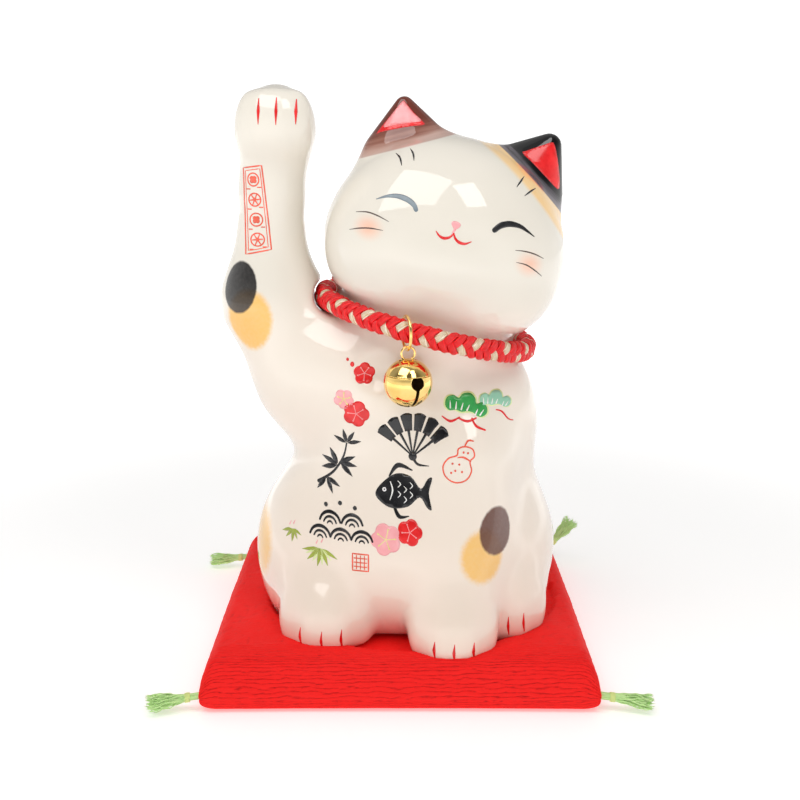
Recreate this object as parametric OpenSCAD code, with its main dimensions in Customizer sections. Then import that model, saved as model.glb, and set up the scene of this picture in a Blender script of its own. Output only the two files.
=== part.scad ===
// Beckoning cat figurine: hollow glazed ceramic cat with a braided collar and a
// jingle bell, seated on a small crepe cushion with corner tassels.
// Origin: centre of the cushion's underside. +Z up, the cat faces -Y.

/* [Cushion] */
// side of the square cushion, corner to corner
cushion_side = 115; // [80:1:160]
// height of the cushion's top under the cat
cushion_t = 12; // [8:0.5:24]
// thickness of the crepe cloth
cloth_t = 0.8; // [0.4:0.1:1.5]

/* [Tassels] */
// length of a tassel's threads beyond its tie
tassel_len = 14; // [8:1:30]
// radius of the thread bundle at its free end
tassel_end_r = 2.3; // [1.5:0.1:4]
// radius of the thread bundle inside the tie
tassel_neck_r = 1.1; // [0.8:0.1:2]

/* [Ceramic cat] */
// thickness of the slip-cast wall
wall = 2.8; // [2:0.1:6]
// roll of the head to the cat's left
head_tilt = 14.5; // [0:0.5:25]
// height of the head's centre
head_z = 134; // [110:1:150]
// radius of the casting drain hole in the base
drain_r = 6; // [3:0.5:10]

/* [Collar] */
// radius of the collar's centre line
collar_r = 33.5; // [28:0.5:40]
// radius of the braid
braid_r = 3.1; // [2:0.1:4.5]
// height of the collar's centre
collar_z = 107; // [95:0.5:120]
// roll of the collar, lower at the cat's left
collar_roll = 14.9; // [0:0.1:25]
// place of the jump ring round the collar, from the front
ring_azimuth = 11.2; // [-30:0.1:30]

/* [Bell] */
// outer radius of the bell
bell_r = 7.2; // [5:0.1:10]
// thickness of the bell's sheet brass
bell_t = 0.45; // [0.3:0.05:0.8]
// centre-line radius of the jump ring
ring_r = 4.95; // [4:0.01:6]
// wire radius of the jump ring
ring_wire = 0.42; // [0.3:0.01:0.6]
// centre-line radius of the bell's wire loop
loop_r = 2.0; // [1.5:0.1:3]
// wire radius of the bell's loop
loop_wire = 0.34; // [0.25:0.01:0.5]
// radius of the loose pellet
pellet_r = 1.8; // [1:0.1:2.5]

/* [Hidden] */
$fn = 64;

corner_z = 5;
corner_r = 3.2;
corner_at = cushion_side / 2 - corner_r;

head_at = [14.7, -6, head_z];
collar_at = [8.2, 0, collar_z];
// point of the braid's centre line that the jump ring goes round
grip = collar_at + [
  -collar_r * sin(ring_azimuth) * cos(collar_roll),
  -collar_r * cos(ring_azimuth),
  collar_r * sin(ring_azimuth) * sin(collar_roll)
];
// the ring hangs in an upright plane turned a little to the cat's left
ring_yaw = 14.5;
// the ring hangs a little below the braid, and the bell sits this far forward on it
ring_drop = 0.5;
ring_lean = 20;
ring_at = grip - [0, 0, ring_drop];
hook = ring_at + [
  ring_r * sin(ring_lean) * sin(ring_yaw),
  -ring_r * sin(ring_lean) * cos(ring_yaw),
  -ring_r * cos(ring_lean)
];
loop_at = hook + [0, 0, ring_wire + loop_wire + 0.16 - loop_r];
bell_at = loop_at - [0, 0, loop_r + bell_r - 0.5];
bell_split = 2.6;
slot_w = 1.2;
pellet_at = bell_at - [0, 0, bell_r - bell_t - pellet_r - 0.08];

// tassel: corner sign x, corner sign y, rise of the threads, sweep to the back
tassel_fl = [-1, -1, -7, -6];
tassel_fr = [1, -1, -7, -4];
tassel_bl = [-1, 1, -7, 4];
tassel_br = [1, 1, 38, 30];

module ellipsoid(at, r) {
  translate(at) scale(r) sphere(r = 1);
}

// ---- cushion ----

module pillow(g) {
  low = cushion_side - 15;
  high = cushion_side - 17;
  mid = cushion_side - 5;
  hull() {
    for (x = [-1, 1], y = [-1, 1])
      translate([x * corner_at, y * corner_at, corner_z]) sphere(r = corner_r - g, $fn = 24);
    translate([-low / 2, -low / 2, g]) cube([low, low, 0.02]);
    translate([-high / 2, -high / 2, cushion_t - g - 0.02]) cube([high, high, 0.02]);
    for (z = [3, 8.5])
      translate([g - mid / 2, g - mid / 2, z]) cube([mid - 2 * g, mid - 2 * g, 0.02]);
  }
}

module upper_half(z) {
  s = cushion_side + 10;
  translate([-s / 2, -s / 2, z]) cube([s, s, 60]);
}

module cushion_top_panel() {
  color([0.84, 0.07, 0.07])
    intersection() {
      difference() {
        pillow(0);
        pillow(cloth_t);
      }
      upper_half(corner_z + 0.02);
    }
}

module cushion_bottom_panel() {
  color([0.78, 0.06, 0.06])
    difference() {
      pillow(0);
      pillow(cloth_t);
      upper_half(corner_z);
    }
}

module cushion_wadding() {
  color([0.93, 0.92, 0.88]) pillow(cloth_t + 0.1);
}

// ---- corner tassels: threads spread along +X, then turned to their corner ----

module at_corner(t) {
  translate([t[0] * corner_at, t[1] * corner_at, corner_z])
    rotate([0, 0, t[0] > 0 ? t[3] : 180 - t[3]])
      rotate([0, 90 - t[2], 0])
        translate([0, 0, corner_r + 0.3 + tassel_neck_r]) children();
}

module threads(t) {
  color([0.72, 0.89, 0.68])
    at_corner(t) {
      sphere(r = tassel_neck_r);
      rotate_extrude()
        polygon([
          [0, 0], [tassel_neck_r, 0], [tassel_neck_r, 2.6],
          [tassel_neck_r * 1.5, 4], [tassel_end_r * 0.9, tassel_len * 0.6],
          [tassel_end_r, tassel_len], [0, tassel_len]
        ]);
    }
}

module tie(t) {
  color([0.76, 0.84, 0.35])
    at_corner(t)
      translate([0, 0, 0.9])
        difference() {
          cylinder(r = tassel_neck_r + 0.55, h = 1.5);
          translate([0, 0, -0.1]) cylinder(r = tassel_neck_r + 0.02, h = 1.7);
        }
}

// ---- ceramic cat: smooth outer form, inset form for the hollow ----

module torso(g) {
  hull() {
    ellipsoid([2, 1, 37], [48.5 - g, 43 - g, 36 - g]);
    ellipsoid([4.5, 1, 66], [40 - g, 33.5 - g, 36 - g]);
  }
  hull() {
    ellipsoid([4.5, 1, 66], [40 - g, 33.5 - g, 36 - g]);
    ellipsoid([6, 1, 84], [31 - g, 28 - g, 26 - g]);
    ellipsoid([-14, -1, 90], [25 - g, 22 - g, 20 - g]);
    ellipsoid([23, 0, 80], [19 - g, 22 - g, 20 - g]);
  }
  hull() {
    ellipsoid([5, -6, 60], [34 - g, 29 - g, 26 - g]);
    ellipsoid([5, -4, 30], [36 - g, 40 - g, 28 - g]);
  }
}

module raised_arm(g) {
  hull() {
    translate([-20, -2, 92]) sphere(r = 19 - g);
    translate([-40.5, -3, 112]) sphere(r = 14.2 - g);
  }
  hull() {
    translate([-40.5, -3, 114]) sphere(r = 14.2 - g);
    translate([-38.2, -5, 152]) sphere(r = 9.5 - g);
  }
  hull() {
    translate([-38.2, -5, 150]) sphere(r = 9.5 - g);
    ellipsoid([-37.2, -6.5, 166.5], [12.1 - g, 12.4 - g, 12.3 - g]);
  }
}

module on_head() {
  translate(head_at) rotate([0, head_tilt, 0]) children();
}

module skull(g) {
  on_head()
    hull() {
      ellipsoid([0, 0, -0.3], [36 - g, 31.5 - g, 30 - g]);
      for (s = [-1, 1])
        ellipsoid([s * 13, -2, -9], [23.3 - g, 26.5 - g, 20 - g]);
    }
}

module ears() {
  on_head()
    for (s = [-1, 1])
      hull() {
        ellipsoid([s * 18.5, 1, 16], [14.5, 10, 14.5]);
        ellipsoid([s * 22.5, 1, 33.4], [2.8, 2.2, 2.8]);
      }
}

module legs(g) {
  hull() {
    ellipsoid([19, -23, 58], [12.5 - g, 12 - g, 14 - g]);
    ellipsoid([15.8, -37, 22], [13 - g, 14.4 - g, 13.5 - g]);
  }
  ellipsoid([15.8, -37, 20], [13.2 - g, 15 - g, 13.5 - g]);
  hull() {
    ellipsoid([-22.8, -25.5, 21.5], [13.6 - g, 18 - g, 14 - g]);
    ellipsoid([-24, -8, 30], [20 - g, 22 - g, 22 - g]);
  }
  hull() {
    ellipsoid([34.5, -20, 21.5], [11.8 - g, 18 - g, 14 - g]);
    ellipsoid([30, -4, 32], [18 - g, 22 - g, 24 - g]);
  }
}

module bobtail() {
  hull() {
    ellipsoid([12, 41, 22], [7, 6, 8]);
    ellipsoid([20, 40, 30], [6, 5.5, 6]);
  }
}

// groove that keeps the collar, its end wrap and the swinging ring clear of the glaze
module neck_groove() {
  translate(collar_at)
    rotate([0, collar_roll, 0]) {
      rotate_extrude($fn = 48)
        translate([collar_r, 0]) circle(r = braid_r + 0.8, $fn = 24);
      rotate([0, 0, 270 - ring_azimuth - 32])
        rotate_extrude(angle = 64, $fn = 48)
          translate([collar_r, 0]) circle(r = ring_r + ring_wire + ring_drop + 0.4, $fn = 24);
    }
}

module ceramic_cat() {
  color([0.97, 0.95, 0.92])
    difference() {
      union() {
        torso(0, $fn = 40);
        raised_arm(0, $fn = 32);
        skull(0, $fn = 44);
        ears($fn = 28);
        legs(0, $fn = 28);
        bobtail($fn = 20);
        ellipsoid([8, 2, 105], [29, 29, 23], $fn = 32);
      }
      neck_groove();
      translate([-80, -80, -10]) cube([160, 160, cushion_t + 10.04]);
      intersection() {
        union() {
          torso(wall, $fn = 24);
          raised_arm(wall, $fn = 18);
          skull(wall, $fn = 24);
          legs(wall, $fn = 18);
          ellipsoid([8, 1, 105], [23, 22, 23], $fn = 24);
        }
        upper_half(cushion_t + wall);
      }
      translate([2, 2, cushion_t - 1]) cylinder(r = drain_r, h = wall + 3, $fn = 32);
    }
}

// ---- collar ----

module on_collar() {
  translate(collar_at) rotate([0, collar_roll, 0]) children();
}

module collar_braid() {
  color([0.85, 0.1, 0.1])
    on_collar()
      rotate_extrude() translate([collar_r, 0]) circle(r = braid_r);
}

module collar_end_wrap() {
  color([0.75, 0.08, 0.08])
    on_collar()
      rotate([0, 0, 83])
        rotate_extrude(angle = 14)
          translate([collar_r, 0])
            difference() {
              circle(r = braid_r + 0.5);
              circle(r = braid_r + 0.02);
            }
}

// ---- jump ring and bell ----

module jump_ring() {
  color([0.85, 0.66, 0.28])
    translate(ring_at)
      rotate([0, 0, ring_yaw])
        rotate([0, 90, 0])
          rotate_extrude() translate([ring_r, 0]) circle(r = ring_wire, $fn = 32);
}

module bell_loop() {
  color([0.85, 0.66, 0.28])
    translate(loop_at)
      rotate([0, 0, ring_yaw])
        rotate([90, 0, 0])
          rotate_extrude() translate([loop_r, 0]) circle(r = loop_wire, $fn = 32);
}

module bell_wall() {
  difference() {
    sphere(r = bell_r);
    sphere(r = bell_r - bell_t);
  }
}

module bell_upper_shell() {
  color([0.88, 0.68, 0.26])
    translate(bell_at)
      difference() {
        bell_wall();
        translate([-10, -10, -20 + bell_split + 0.03]) cube([20, 20, 20]);
        rotate([0, 0, ring_yaw])
          for (s = [-1, 1])
            translate([s * (loop_r - 0.25), 0, bell_r - 2]) cylinder(r = 0.75, h = 4, $fn = 24);
        translate([0, 0, bell_r - 2]) rotate([0, 0, ring_yaw])
          translate([-loop_r, -0.5, 0]) cube([2 * loop_r, 1, 3]);
      }
}

module bell_lower_shell() {
  color([0.88, 0.68, 0.26])
    translate(bell_at)
      difference() {
        bell_wall();
        translate([-10, -10, bell_split]) cube([20, 20, 20]);
        rotate([0, 0, 24]) {
          translate([-slot_w / 2, -12, -12]) cube([slot_w, 24, 12]);
          rotate([90, 0, 0]) translate([0, 0, -12]) cylinder(r = 1.6, h = 24, $fn = 32);
        }
      }
}

module bell_pellet() {
  color([0.72, 0.72, 0.74]) translate(pellet_at) sphere(r = pellet_r);
}

cushion_top_panel();
cushion_bottom_panel();
cushion_wadding();
threads(tassel_fl);  // tassel_front_left
threads(tassel_fr);  // tassel_front_right
threads(tassel_bl);  // tassel_back_left
threads(tassel_br);  // tassel_back_right
tie(tassel_fl);  // tie_front_left
tie(tassel_fr);  // tie_front_right
tie(tassel_bl);  // tie_back_left
tie(tassel_br);  // tie_back_right
ceramic_cat();
collar_braid();
collar_end_wrap();
jump_ring();
bell_loop();
bell_upper_shell();
bell_lower_shell();
bell_pellet();
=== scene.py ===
import bpy
import math
import numpy as np
from mathutils import Matrix, Vector
from mathutils.geometry import delaunay_2d_cdt


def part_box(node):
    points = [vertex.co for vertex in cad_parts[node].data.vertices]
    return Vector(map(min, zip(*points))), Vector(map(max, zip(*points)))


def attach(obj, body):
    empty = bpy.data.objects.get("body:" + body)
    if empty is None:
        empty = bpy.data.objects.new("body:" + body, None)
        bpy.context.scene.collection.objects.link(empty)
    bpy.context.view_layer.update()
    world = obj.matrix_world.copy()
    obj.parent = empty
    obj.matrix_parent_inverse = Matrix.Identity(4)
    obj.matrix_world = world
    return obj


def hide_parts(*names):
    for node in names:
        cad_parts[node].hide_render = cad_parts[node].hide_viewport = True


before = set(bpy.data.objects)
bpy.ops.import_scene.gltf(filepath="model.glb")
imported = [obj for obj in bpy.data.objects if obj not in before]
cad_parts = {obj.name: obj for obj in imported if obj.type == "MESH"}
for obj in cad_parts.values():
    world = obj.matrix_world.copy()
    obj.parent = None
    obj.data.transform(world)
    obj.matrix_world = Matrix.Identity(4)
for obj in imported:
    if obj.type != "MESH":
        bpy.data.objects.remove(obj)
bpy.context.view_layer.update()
print("frame loaded")

# camera, floor and light

studio = {
    "eye": (0, -0.347, 0.163), "lookDown": 13.4, "lens": 49.3, "sensor": 36,
    "floorColour": (0.93, 0.925, 0.92), "floorSize": 6.0,
    "domeStrength": 0.48, "glowFrom": 0.16, "glowTo": 0.6,
    "boxes": {  # place, aimed at, width, height, watts
        "leftBox": ((-0.165, -0.240, 0.59), (0, 0, 0.11), 0.40, 0.36, 1.32),
        "rightBox": ((0.205, -0.31, 0.56), (0.01, 0, 0.10), 0.18, 0.26, 0.60),
        "topBox": ((0.05, 0.15, 0.62), (0, 0, 0.08), 0.5, 0.4, 0.12),
    },
}


def makeCamera():
    view = bpy.data.objects.new("camera", bpy.data.cameras.new("camera"))
    bpy.context.scene.collection.objects.link(view)
    view.location = studio["eye"]
    view.rotation_euler = (math.radians(90 - studio["lookDown"]), 0, 0)
    view.data.sensor_width = studio["sensor"]
    view.data.lens = studio["lens"]
    view.data.clip_start = 0.01
    bpy.context.scene.camera = view


makeCamera()


# node tree helpers

def feed(tree, socket, value):
    # a wire is linked, anything else is set on the socket
    if isinstance(value, Wire):
        value = value.socket
    if isinstance(value, bpy.types.NodeSocket):
        tree.links.new(value, socket)
    else:
        socket.default_value = value


def addNode(tree, kind, settings=None, inputs=None):
    node = tree.nodes.new(kind)
    for name, value in (settings or {}).items():
        setattr(node, name, value)
    for name, value in (inputs or {}).items():
        feed(tree, node.inputs[name], value)
    return node


class Wire:
    # a number inside a node tree, so that a formula can be written as one

    def __init__(self, tree, socket):
        self.tree = tree
        self.socket = socket

    def math(self, operation, *others):
        node = addNode(self.tree, "ShaderNodeMath", {"operation": operation})
        for place, value in enumerate((self,) + others):
            feed(self.tree, node.inputs[place], value)
        return Wire(self.tree, node.outputs[0])

    def __add__(self, other):
        return self.math("ADD", other)

    def __sub__(self, other):
        return self.math("SUBTRACT", other)

    def __mul__(self, other):
        return self.math("MULTIPLY", other)

    def __truediv__(self, other):
        return self.math("DIVIDE", other)

    __radd__ = __add__
    __rmul__ = __mul__

    def __rsub__(self, other):
        return (self * -1.0) + other

    def power(self, other):
        return self.math("POWER", other)

    def least(self, other):
        return self.math("MINIMUM", other)

    def most(self, other):
        return self.math("MAXIMUM", other)

    def sine(self):
        return self.math("SINE")

    def cosine(self):
        return self.math("COSINE")

    def rise(self, low, high):
        # 0 below low, 1 above high, smooth between
        node = addNode(self.tree, "ShaderNodeMapRange", {"interpolation_type": "SMOOTHSTEP"})
        for name, value in (("Value", self), ("From Min", low), ("From Max", high)):
            feed(self.tree, node.inputs[name], value)
        return Wire(self.tree, node.outputs[0])


def newMaterial(name, settings):
    # a Principled material; settings are set straight on its sockets
    material = bpy.data.materials.new(name)
    material.use_nodes = True
    tree = material.node_tree
    shader = tree.nodes["Principled BSDF"]
    for label, value in settings.items():
        shader.inputs[label].default_value = value
    return material, tree, shader


def objectPlace(tree):
    # x, y and z in millimetres
    where = addNode(tree, "ShaderNodeTexCoord").outputs["Object"]
    parts = addNode(tree, "ShaderNodeSeparateXYZ", inputs={"Vector": where})
    return where, [Wire(tree, parts.outputs[k]) * 1000.0 for k in range(3)]


def joinPlace(tree, x, y, z):
    node = addNode(tree, "ShaderNodeCombineXYZ", inputs={"X": x, "Y": y, "Z": z})
    return node.outputs[0]


def noise(tree, vector, scale, detail=2.0, rough=0.5):
    node = addNode(tree, "ShaderNodeTexNoise", inputs={
        "Vector": vector, "Scale": scale, "Detail": detail, "Roughness": rough})
    return Wire(tree, node.outputs["Fac"])


def mixColour(tree, amount, first, second):
    node = addNode(tree, "ShaderNodeMix", {"data_type": "RGBA"})
    feed(tree, node.inputs[0], amount)
    for place, colour in ((6, first), (7, second)):
        if isinstance(colour, tuple):
            colour = (*colour, 1.0)
        feed(tree, node.inputs[place], colour)
    return node.outputs[2]


def addBump(tree, shader, height, distance, strength=1.0, target="Normal"):
    bump = addNode(tree, "ShaderNodeBump", inputs={
        "Height": height, "Distance": distance, "Strength": strength})
    tree.links.new(bump.outputs[0], shader.inputs[target])


def meshPiece(name, points, faces, materials, body, replaced=(), flat=False):
    # points are in millimetres; the piece rides on its body
    mesh = bpy.data.meshes.new(name)
    points = np.asarray(points, np.float32) / 1000
    faces = faces if isinstance(faces, list) else np.asarray(faces).tolist()
    mesh.from_pydata(points.tolist(), [], faces)
    mesh.validate()
    mesh.polygons.foreach_set("use_smooth", [not flat] * len(mesh.polygons))
    for material in materials:
        mesh.materials.append(material)
    piece = bpy.data.objects.new(name, mesh)
    bpy.context.scene.collection.objects.link(piece)
    return placePiece(piece, body, replaced)


def placePiece(piece, body, replaced=()):
    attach(piece, body)
    if replaced:
        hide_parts(*replaced)
    return piece


# floor and studio

def makeStudio():
    size = studio["floorSize"] / 2
    mesh = bpy.data.meshes.new("floor")
    mesh.from_pydata([(-size, -size, -0.0003), (size, -size, -0.0003),
                      (size, size, -0.0003), (-size, size, -0.0003)], [], [(0, 1, 2, 3)])
    floor = bpy.data.objects.new("floor", mesh)
    bpy.context.scene.collection.objects.link(floor)
    material, tree, shader = newMaterial("paleFloor", {"Roughness": 0.55})
    where, _ = objectPlace(tree)
    shade = noise(tree, where, 6.0)
    colour = mixColour(tree, shade, studio["floorColour"], tuple(0.985 * c for c in studio["floorColour"]))
    feed(tree, shader.inputs["Base Color"], colour)
    # the floor lightens into the white surround
    _, (x, y, _) = objectPlace(tree)
    away = (x * x + y * y).power(0.5) * 0.001
    shader.inputs["Emission Color"].default_value = (1, 1, 1, 1)
    feed(tree, shader.inputs["Emission Strength"],
         away.rise(studio["glowFrom"], studio["glowTo"]) * 0.75 + 0.36)
    mesh.materials.append(material)
    for name, (place, target, width, height, watts) in studio["boxes"].items():
        light = bpy.data.lights.new(name, "AREA")
        light.shape = "RECTANGLE"
        light.size, light.size_y, light.energy = width, height, watts
        box = bpy.data.objects.new(name, light)
        bpy.context.scene.collection.objects.link(box)
        box.location = place
        box.rotation_euler = (Vector(target) - Vector(place)).to_track_quat("-Z", "Y").to_euler()
    world = bpy.data.worlds.new("dome")
    bpy.context.scene.world = world
    world.use_nodes = True
    tree = world.node_tree
    background = tree.nodes["Background"]
    facing = addNode(tree, "ShaderNodeSeparateXYZ", inputs={
        "Vector": addNode(tree, "ShaderNodeTexCoord").outputs["Generated"]})
    forward = Wire(tree, facing.outputs["Y"]) * -1.0
    lift = Wire(tree, facing.outputs["Z"])
    # the unlit side of the room, towards the camera
    dark = forward.rise(-0.05, 0.5) * lift.rise(0.14, 0.58) * (1.0 - lift.rise(0.7, 0.95))
    rays = addNode(tree, "ShaderNodeLightPath")
    tone = mixColour(tree, lift.rise(0.48, 0.0), (0.80, 0.796, 0.788), (2.25, 2.24, 2.22))
    tone = mixColour(tree, dark, tone, (0.26, 0.25, 0.24))
    seen = Wire(tree, rays.outputs["Is Camera Ray"])
    feed(tree, background.inputs["Color"], mixColour(tree, seen, tone, (2.6, 2.6, 2.6)))
    background.inputs["Strength"].default_value = studio["domeStrength"]


makeStudio()
bpy.context.scene.view_settings.view_transform = "Standard"
bpy.context.scene.view_settings.exposure = 0.0
print("studio made")


# solid forms as distance functions

def softMin(a, b, k):
    h = np.clip(0.5 + 0.5 * (b - a) / k, 0, 1)
    return b * (1 - h) + a * h - k * h * (1 - h)


def softMax(a, b, k):
    return -softMin(-a, -b, k)


def egg(p, centre, radii):
    q = p - np.array(centre, np.float32)
    r = np.array(radii, np.float32)
    near = np.linalg.norm(q / r, axis=-1)
    slope = np.linalg.norm(q / (r * r), axis=-1)
    return near * (near - 1) / np.maximum(slope, 1e-6)


def limb(p, start, end, startRadius, endRadius):
    # a cone with a ball at each end
    a = np.array(start, np.float32)
    ba = np.array(end, np.float32) - a
    length2 = ba @ ba
    drop = startRadius - endRadius
    a2 = length2 - drop * drop
    pa = p - a
    y = pa @ ba
    z = y - length2
    x2 = ((pa * length2 - y[..., None] * ba) ** 2).sum(-1)
    y2 = y * y * length2
    z2 = z * z * length2
    k = np.sign(drop) * drop * drop * x2
    side = (np.sqrt(x2 * a2 / length2) + y * drop) / length2 - startRadius
    far = np.sqrt(x2 + z2) / length2 - endRadius
    back = np.sqrt(x2 + y2) / length2 - startRadius
    return np.where(np.sign(z) * a2 * z2 > k, far, np.where(np.sign(y) * a2 * y2 < k, back, side))


def turnY(degrees):
    t = math.radians(degrees)
    return np.array([[math.cos(t), 0, math.sin(t)], [0, 1, 0], [-math.sin(t), 0, math.cos(t)]], np.float32)


def ringDistance(q, radius, thickness):
    return np.hypot(np.hypot(q[..., 0], q[..., 1]) - radius, q[..., 2]) - thickness


def netSurface(form, low, high, step, block=12):
    # a quad mesh of the surface where form is 0: one point in each crossed cell,
    # then moved onto the surface
    low = np.array(low, np.float32)
    count = np.ceil((np.array(high) - low) / step / block).astype(int)
    size = count * block
    values = np.full(size, 1.0, np.float32)
    reach = block * step * 0.87
    starts = np.stack(np.meshgrid(*[np.arange(n) for n in count], indexing="ij"), -1).reshape(-1, 3) * block
    middle = form((low + (starts + block / 2) * step).astype(np.float32))
    cell = np.stack(np.meshgrid(*[np.arange(block)] * 3, indexing="ij"), -1).reshape(-1, 3)
    for start, away in zip(starts, middle):
        if abs(away) > reach * 1.6 + 2 * step:
            values[tuple(slice(s, s + block) for s in start)] = away
            continue
        found = form((low + (cell + start) * step).astype(np.float32))
        values[tuple(slice(s, s + block) for s in start)] = found.reshape(block, block, block)
    inside = values < 0
    corners = [(i, j, k) for i in (0, 1) for j in (0, 1) for k in (0, 1)]
    total = sum(inside[i:size[0] - 1 + i, j:size[1] - 1 + j, k:size[2] - 1 + k].astype(np.int8)
                for i, j, k in corners)
    active = np.argwhere((total > 0) & (total < 8))
    number = np.full(size, -1, np.int64)
    number[tuple(active.T)] = np.arange(len(active))
    at = {c: values[tuple((active + c).T)] for c in corners}
    sums = np.zeros((len(active), 3), np.float32)
    hits = np.zeros(len(active), np.float32)
    for a in corners:
        for axis in range(3):
            if a[axis]:
                continue
            b = tuple(1 if n == axis else a[n] for n in range(3))
            crossed = (at[a] < 0) != (at[b] < 0)
            t = np.where(crossed, at[a] / np.where(crossed, at[a] - at[b], 1), 0)
            spot = np.tile(np.array(a, np.float32), (len(active), 1))
            spot[:, axis] = t
            sums += spot * crossed[:, None]
            hits += crossed
    points = low + (active + sums / hits[:, None]) * step
    quads = []
    for axis in range(3):
        u, v = (axis + 1) % 3, (axis + 2) % 3
        inner = [slice(0 if n == axis else 1, size[n] - 1) for n in range(3)]
        shifted = [slice(1, size[n]) if n == axis else inner[n] for n in range(3)]
        change = inside[tuple(inner)] != inside[tuple(shifted)]
        edges = np.argwhere(change) + [0 if n == axis else 1 for n in range(3)]
        outward = inside[tuple(edges.T)]
        stepU = np.eye(3, dtype=int)[u]
        stepV = np.eye(3, dtype=int)[v]
        ring = [number[tuple((edges - du * stepU - dv * stepV).T)]
                for du, dv in ((1, 1), (0, 1), (0, 0), (1, 0))]
        quad = np.stack(ring, -1)
        quad[~outward] = quad[~outward][:, ::-1]
        quads.append(quad)
    points = settle(form, points, step * 0.5)
    return points, np.concatenate(quads)


def slopeOf(form, points, reach=0.05):
    slope = np.zeros_like(points)
    for axis in range(3):
        shift = np.zeros(3, np.float32)
        shift[axis] = reach
        slope[:, axis] = (form(points + shift) - form(points - shift)) / (2 * reach)
    return slope


def settle(form, points, most, rounds=3):
    for _ in range(rounds):
        slope = slopeOf(form, points)
        move = slope * (form(points) / np.maximum((slope ** 2).sum(-1), 0.2))[:, None]
        size = np.linalg.norm(move, axis=-1, keepdims=True)
        points = points - move * np.minimum(1, most / np.maximum(size, 1e-9))
    return points.astype(np.float32)


# the ceramic cat

cat = {
    "meshStep": 0.95, "base": 12.04, "headAt": (14.7, -6, 134), "headTilt": 14.5,
    # torso eggs: centre, radii, softness of the join
    "torso": [
        ((2, 1, 36), (48.5, 43, 36), 1),
        ((-22, 0, 25), (23, 36, 25), 9),
        ((28, 2, 25), (20, 36, 25), 9),
        ((5.5, 0.5, 72), (36.5, 30.4, 40), 14),
        ((-17, -1.5, 93), (23.5, 21.5, 20), 18),
        ((24, 0, 78), (16.5, 20, 18), 14),
        ((8, 2.5, 105), (28, 27.8, 22), 8),
    ],
    # limbs: start, end, radii, softness
    "limbs": [
        ((-29, -3, 91), (-40.2, -3, 112), 17, 14.3, 13),
        ((-40.8, -3, 115), (-39.2, -4.5, 150), 13.0, 8.9, 10),
        ((-39.2, -4.5, 148), (-38.3, -5.5, 160), 8.9, 9.3, 5),
        ((20, -22, 66), (17, -34.5, 30), 12.5, 11.8, 11),
        ((15, 40, 21), (22, 39.5, 29), 6.2, 5.0, 5),
    ],
    # paws: centre, radii, softness, and each one's toes as (x, y) with height, radii
    "paws": [
        ((-37.2, -6.5, 167), (11.5, 12.2, 12), 8),
        ((15.8, -37, 20.5), (13, 14.6, 14), 5),
        ((-22.8, -28.2, 21.6), (14.0, 17.2, 14.4), 5.5),
        ((34, -19.5, 21.8), (11.8, 17.2, 14.4), 5.5),
    ],
    "toes": [
        (((-44.2, -11.5), (-39.9, -14), (-34.7, -14.2), (-30.2, -11.8)), 168, (3.7, 4.1, 8)),
        (((7.4, -43), (12.8, -46.6), (18.9, -46.4), (24.6, -42.6)), 18, (4.3, 4.7, 8)),
        (((-31.8, -34.5), (-25.8, -39.0), (-19.3, -39.0), (-13.6, -34.9)), 18, (4.6, 4.9, 8)),
        (((30.5, -31.5), (36, -31.3), (40.8, -26.6)), 18.5, (4.1, 4.5, 8)),
    ],
    "toeSoftness": 4.2,
    "skull": [
        ((0, 0, 0.2), (35.6, 31.5, 30), 1),
        ((-14.5, -1.5, -7.5), (21.5, 26.5, 20.5), 8),
        ((14.5, -1.5, -7.5), (21.5, 26.5, 20.5), 8),
        ((0, -25, -6.5), (12, 7.5, 8), 6),
    ],
    # ears: side, foot x, foot radius, tip x, tip z, tip radius
    "ears": [(-1, 16.4, 15.6, 22.6, 34.0, 3.0), (1, 16.2, 15.4, 22.9, 33.6, 3.9)],
    "earFlatness": 1.6,
    "collarAt": (8.2, 0, 107), "collarTilt": 14.9, "collarRing": 33.5, "grooveRadius": 4.1,
    "bellReach": 17.5, "bellRoom": 7.85,
    "drainAt": (2, 2), "drainRadius": 6, "hollow": ((2, 2, 44), (40, 34, 28.5)),
}
headAt = np.array(cat["headAt"], np.float32)
headTurn = turnY(cat["headTilt"])
collarAt = np.array(cat["collarAt"], np.float32)
collarTurn = turnY(cat["collarTilt"])
bellLow, bellHigh = (np.array(corner) * 1000 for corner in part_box("bell_lower_shell"))
bellMiddle = np.array([*(bellLow + bellHigh)[:2] / 2, bellLow[2] + (bellHigh - bellLow)[0] / 2])
bellMiddle = (bellMiddle - collarAt) @ collarTurn


def bellDistance(q):
    # distance from the arc that the bell's middle sweeps about the collar's axis
    middle = math.atan2(bellMiddle[1], bellMiddle[0])
    reach = math.radians(cat["bellReach"])
    turn = np.clip(np.arctan2(q[..., 1], q[..., 0]) - middle, -reach, reach) + middle
    radius = math.hypot(bellMiddle[0], bellMiddle[1])
    away = (q[..., 0] - radius * np.cos(turn)) ** 2 + (q[..., 1] - radius * np.sin(turn)) ** 2
    return np.sqrt(away + (q[..., 2] - bellMiddle[2]) ** 2)


def earForm(q, side, footX, footRadius, tipX, tipZ, tipRadius):
    flat = cat["earFlatness"]
    s = q.copy()
    s[..., 1] = (s[..., 1] - 1) * flat + 1
    ear = limb(s, (side * footX, 1, 16.5), (side * tipX, 1, tipZ), footRadius, tipRadius) / flat
    b = q.copy()
    b[..., 1] = (b[..., 1] + 10.1) * 1.5
    bowl = limb(b, (side * 20.8, 0, 24.4), (side * 22.4, 0, 32.4), 6.6, 1.6) / 1.5
    return softMax(ear, -bowl, 1.4)


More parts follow.
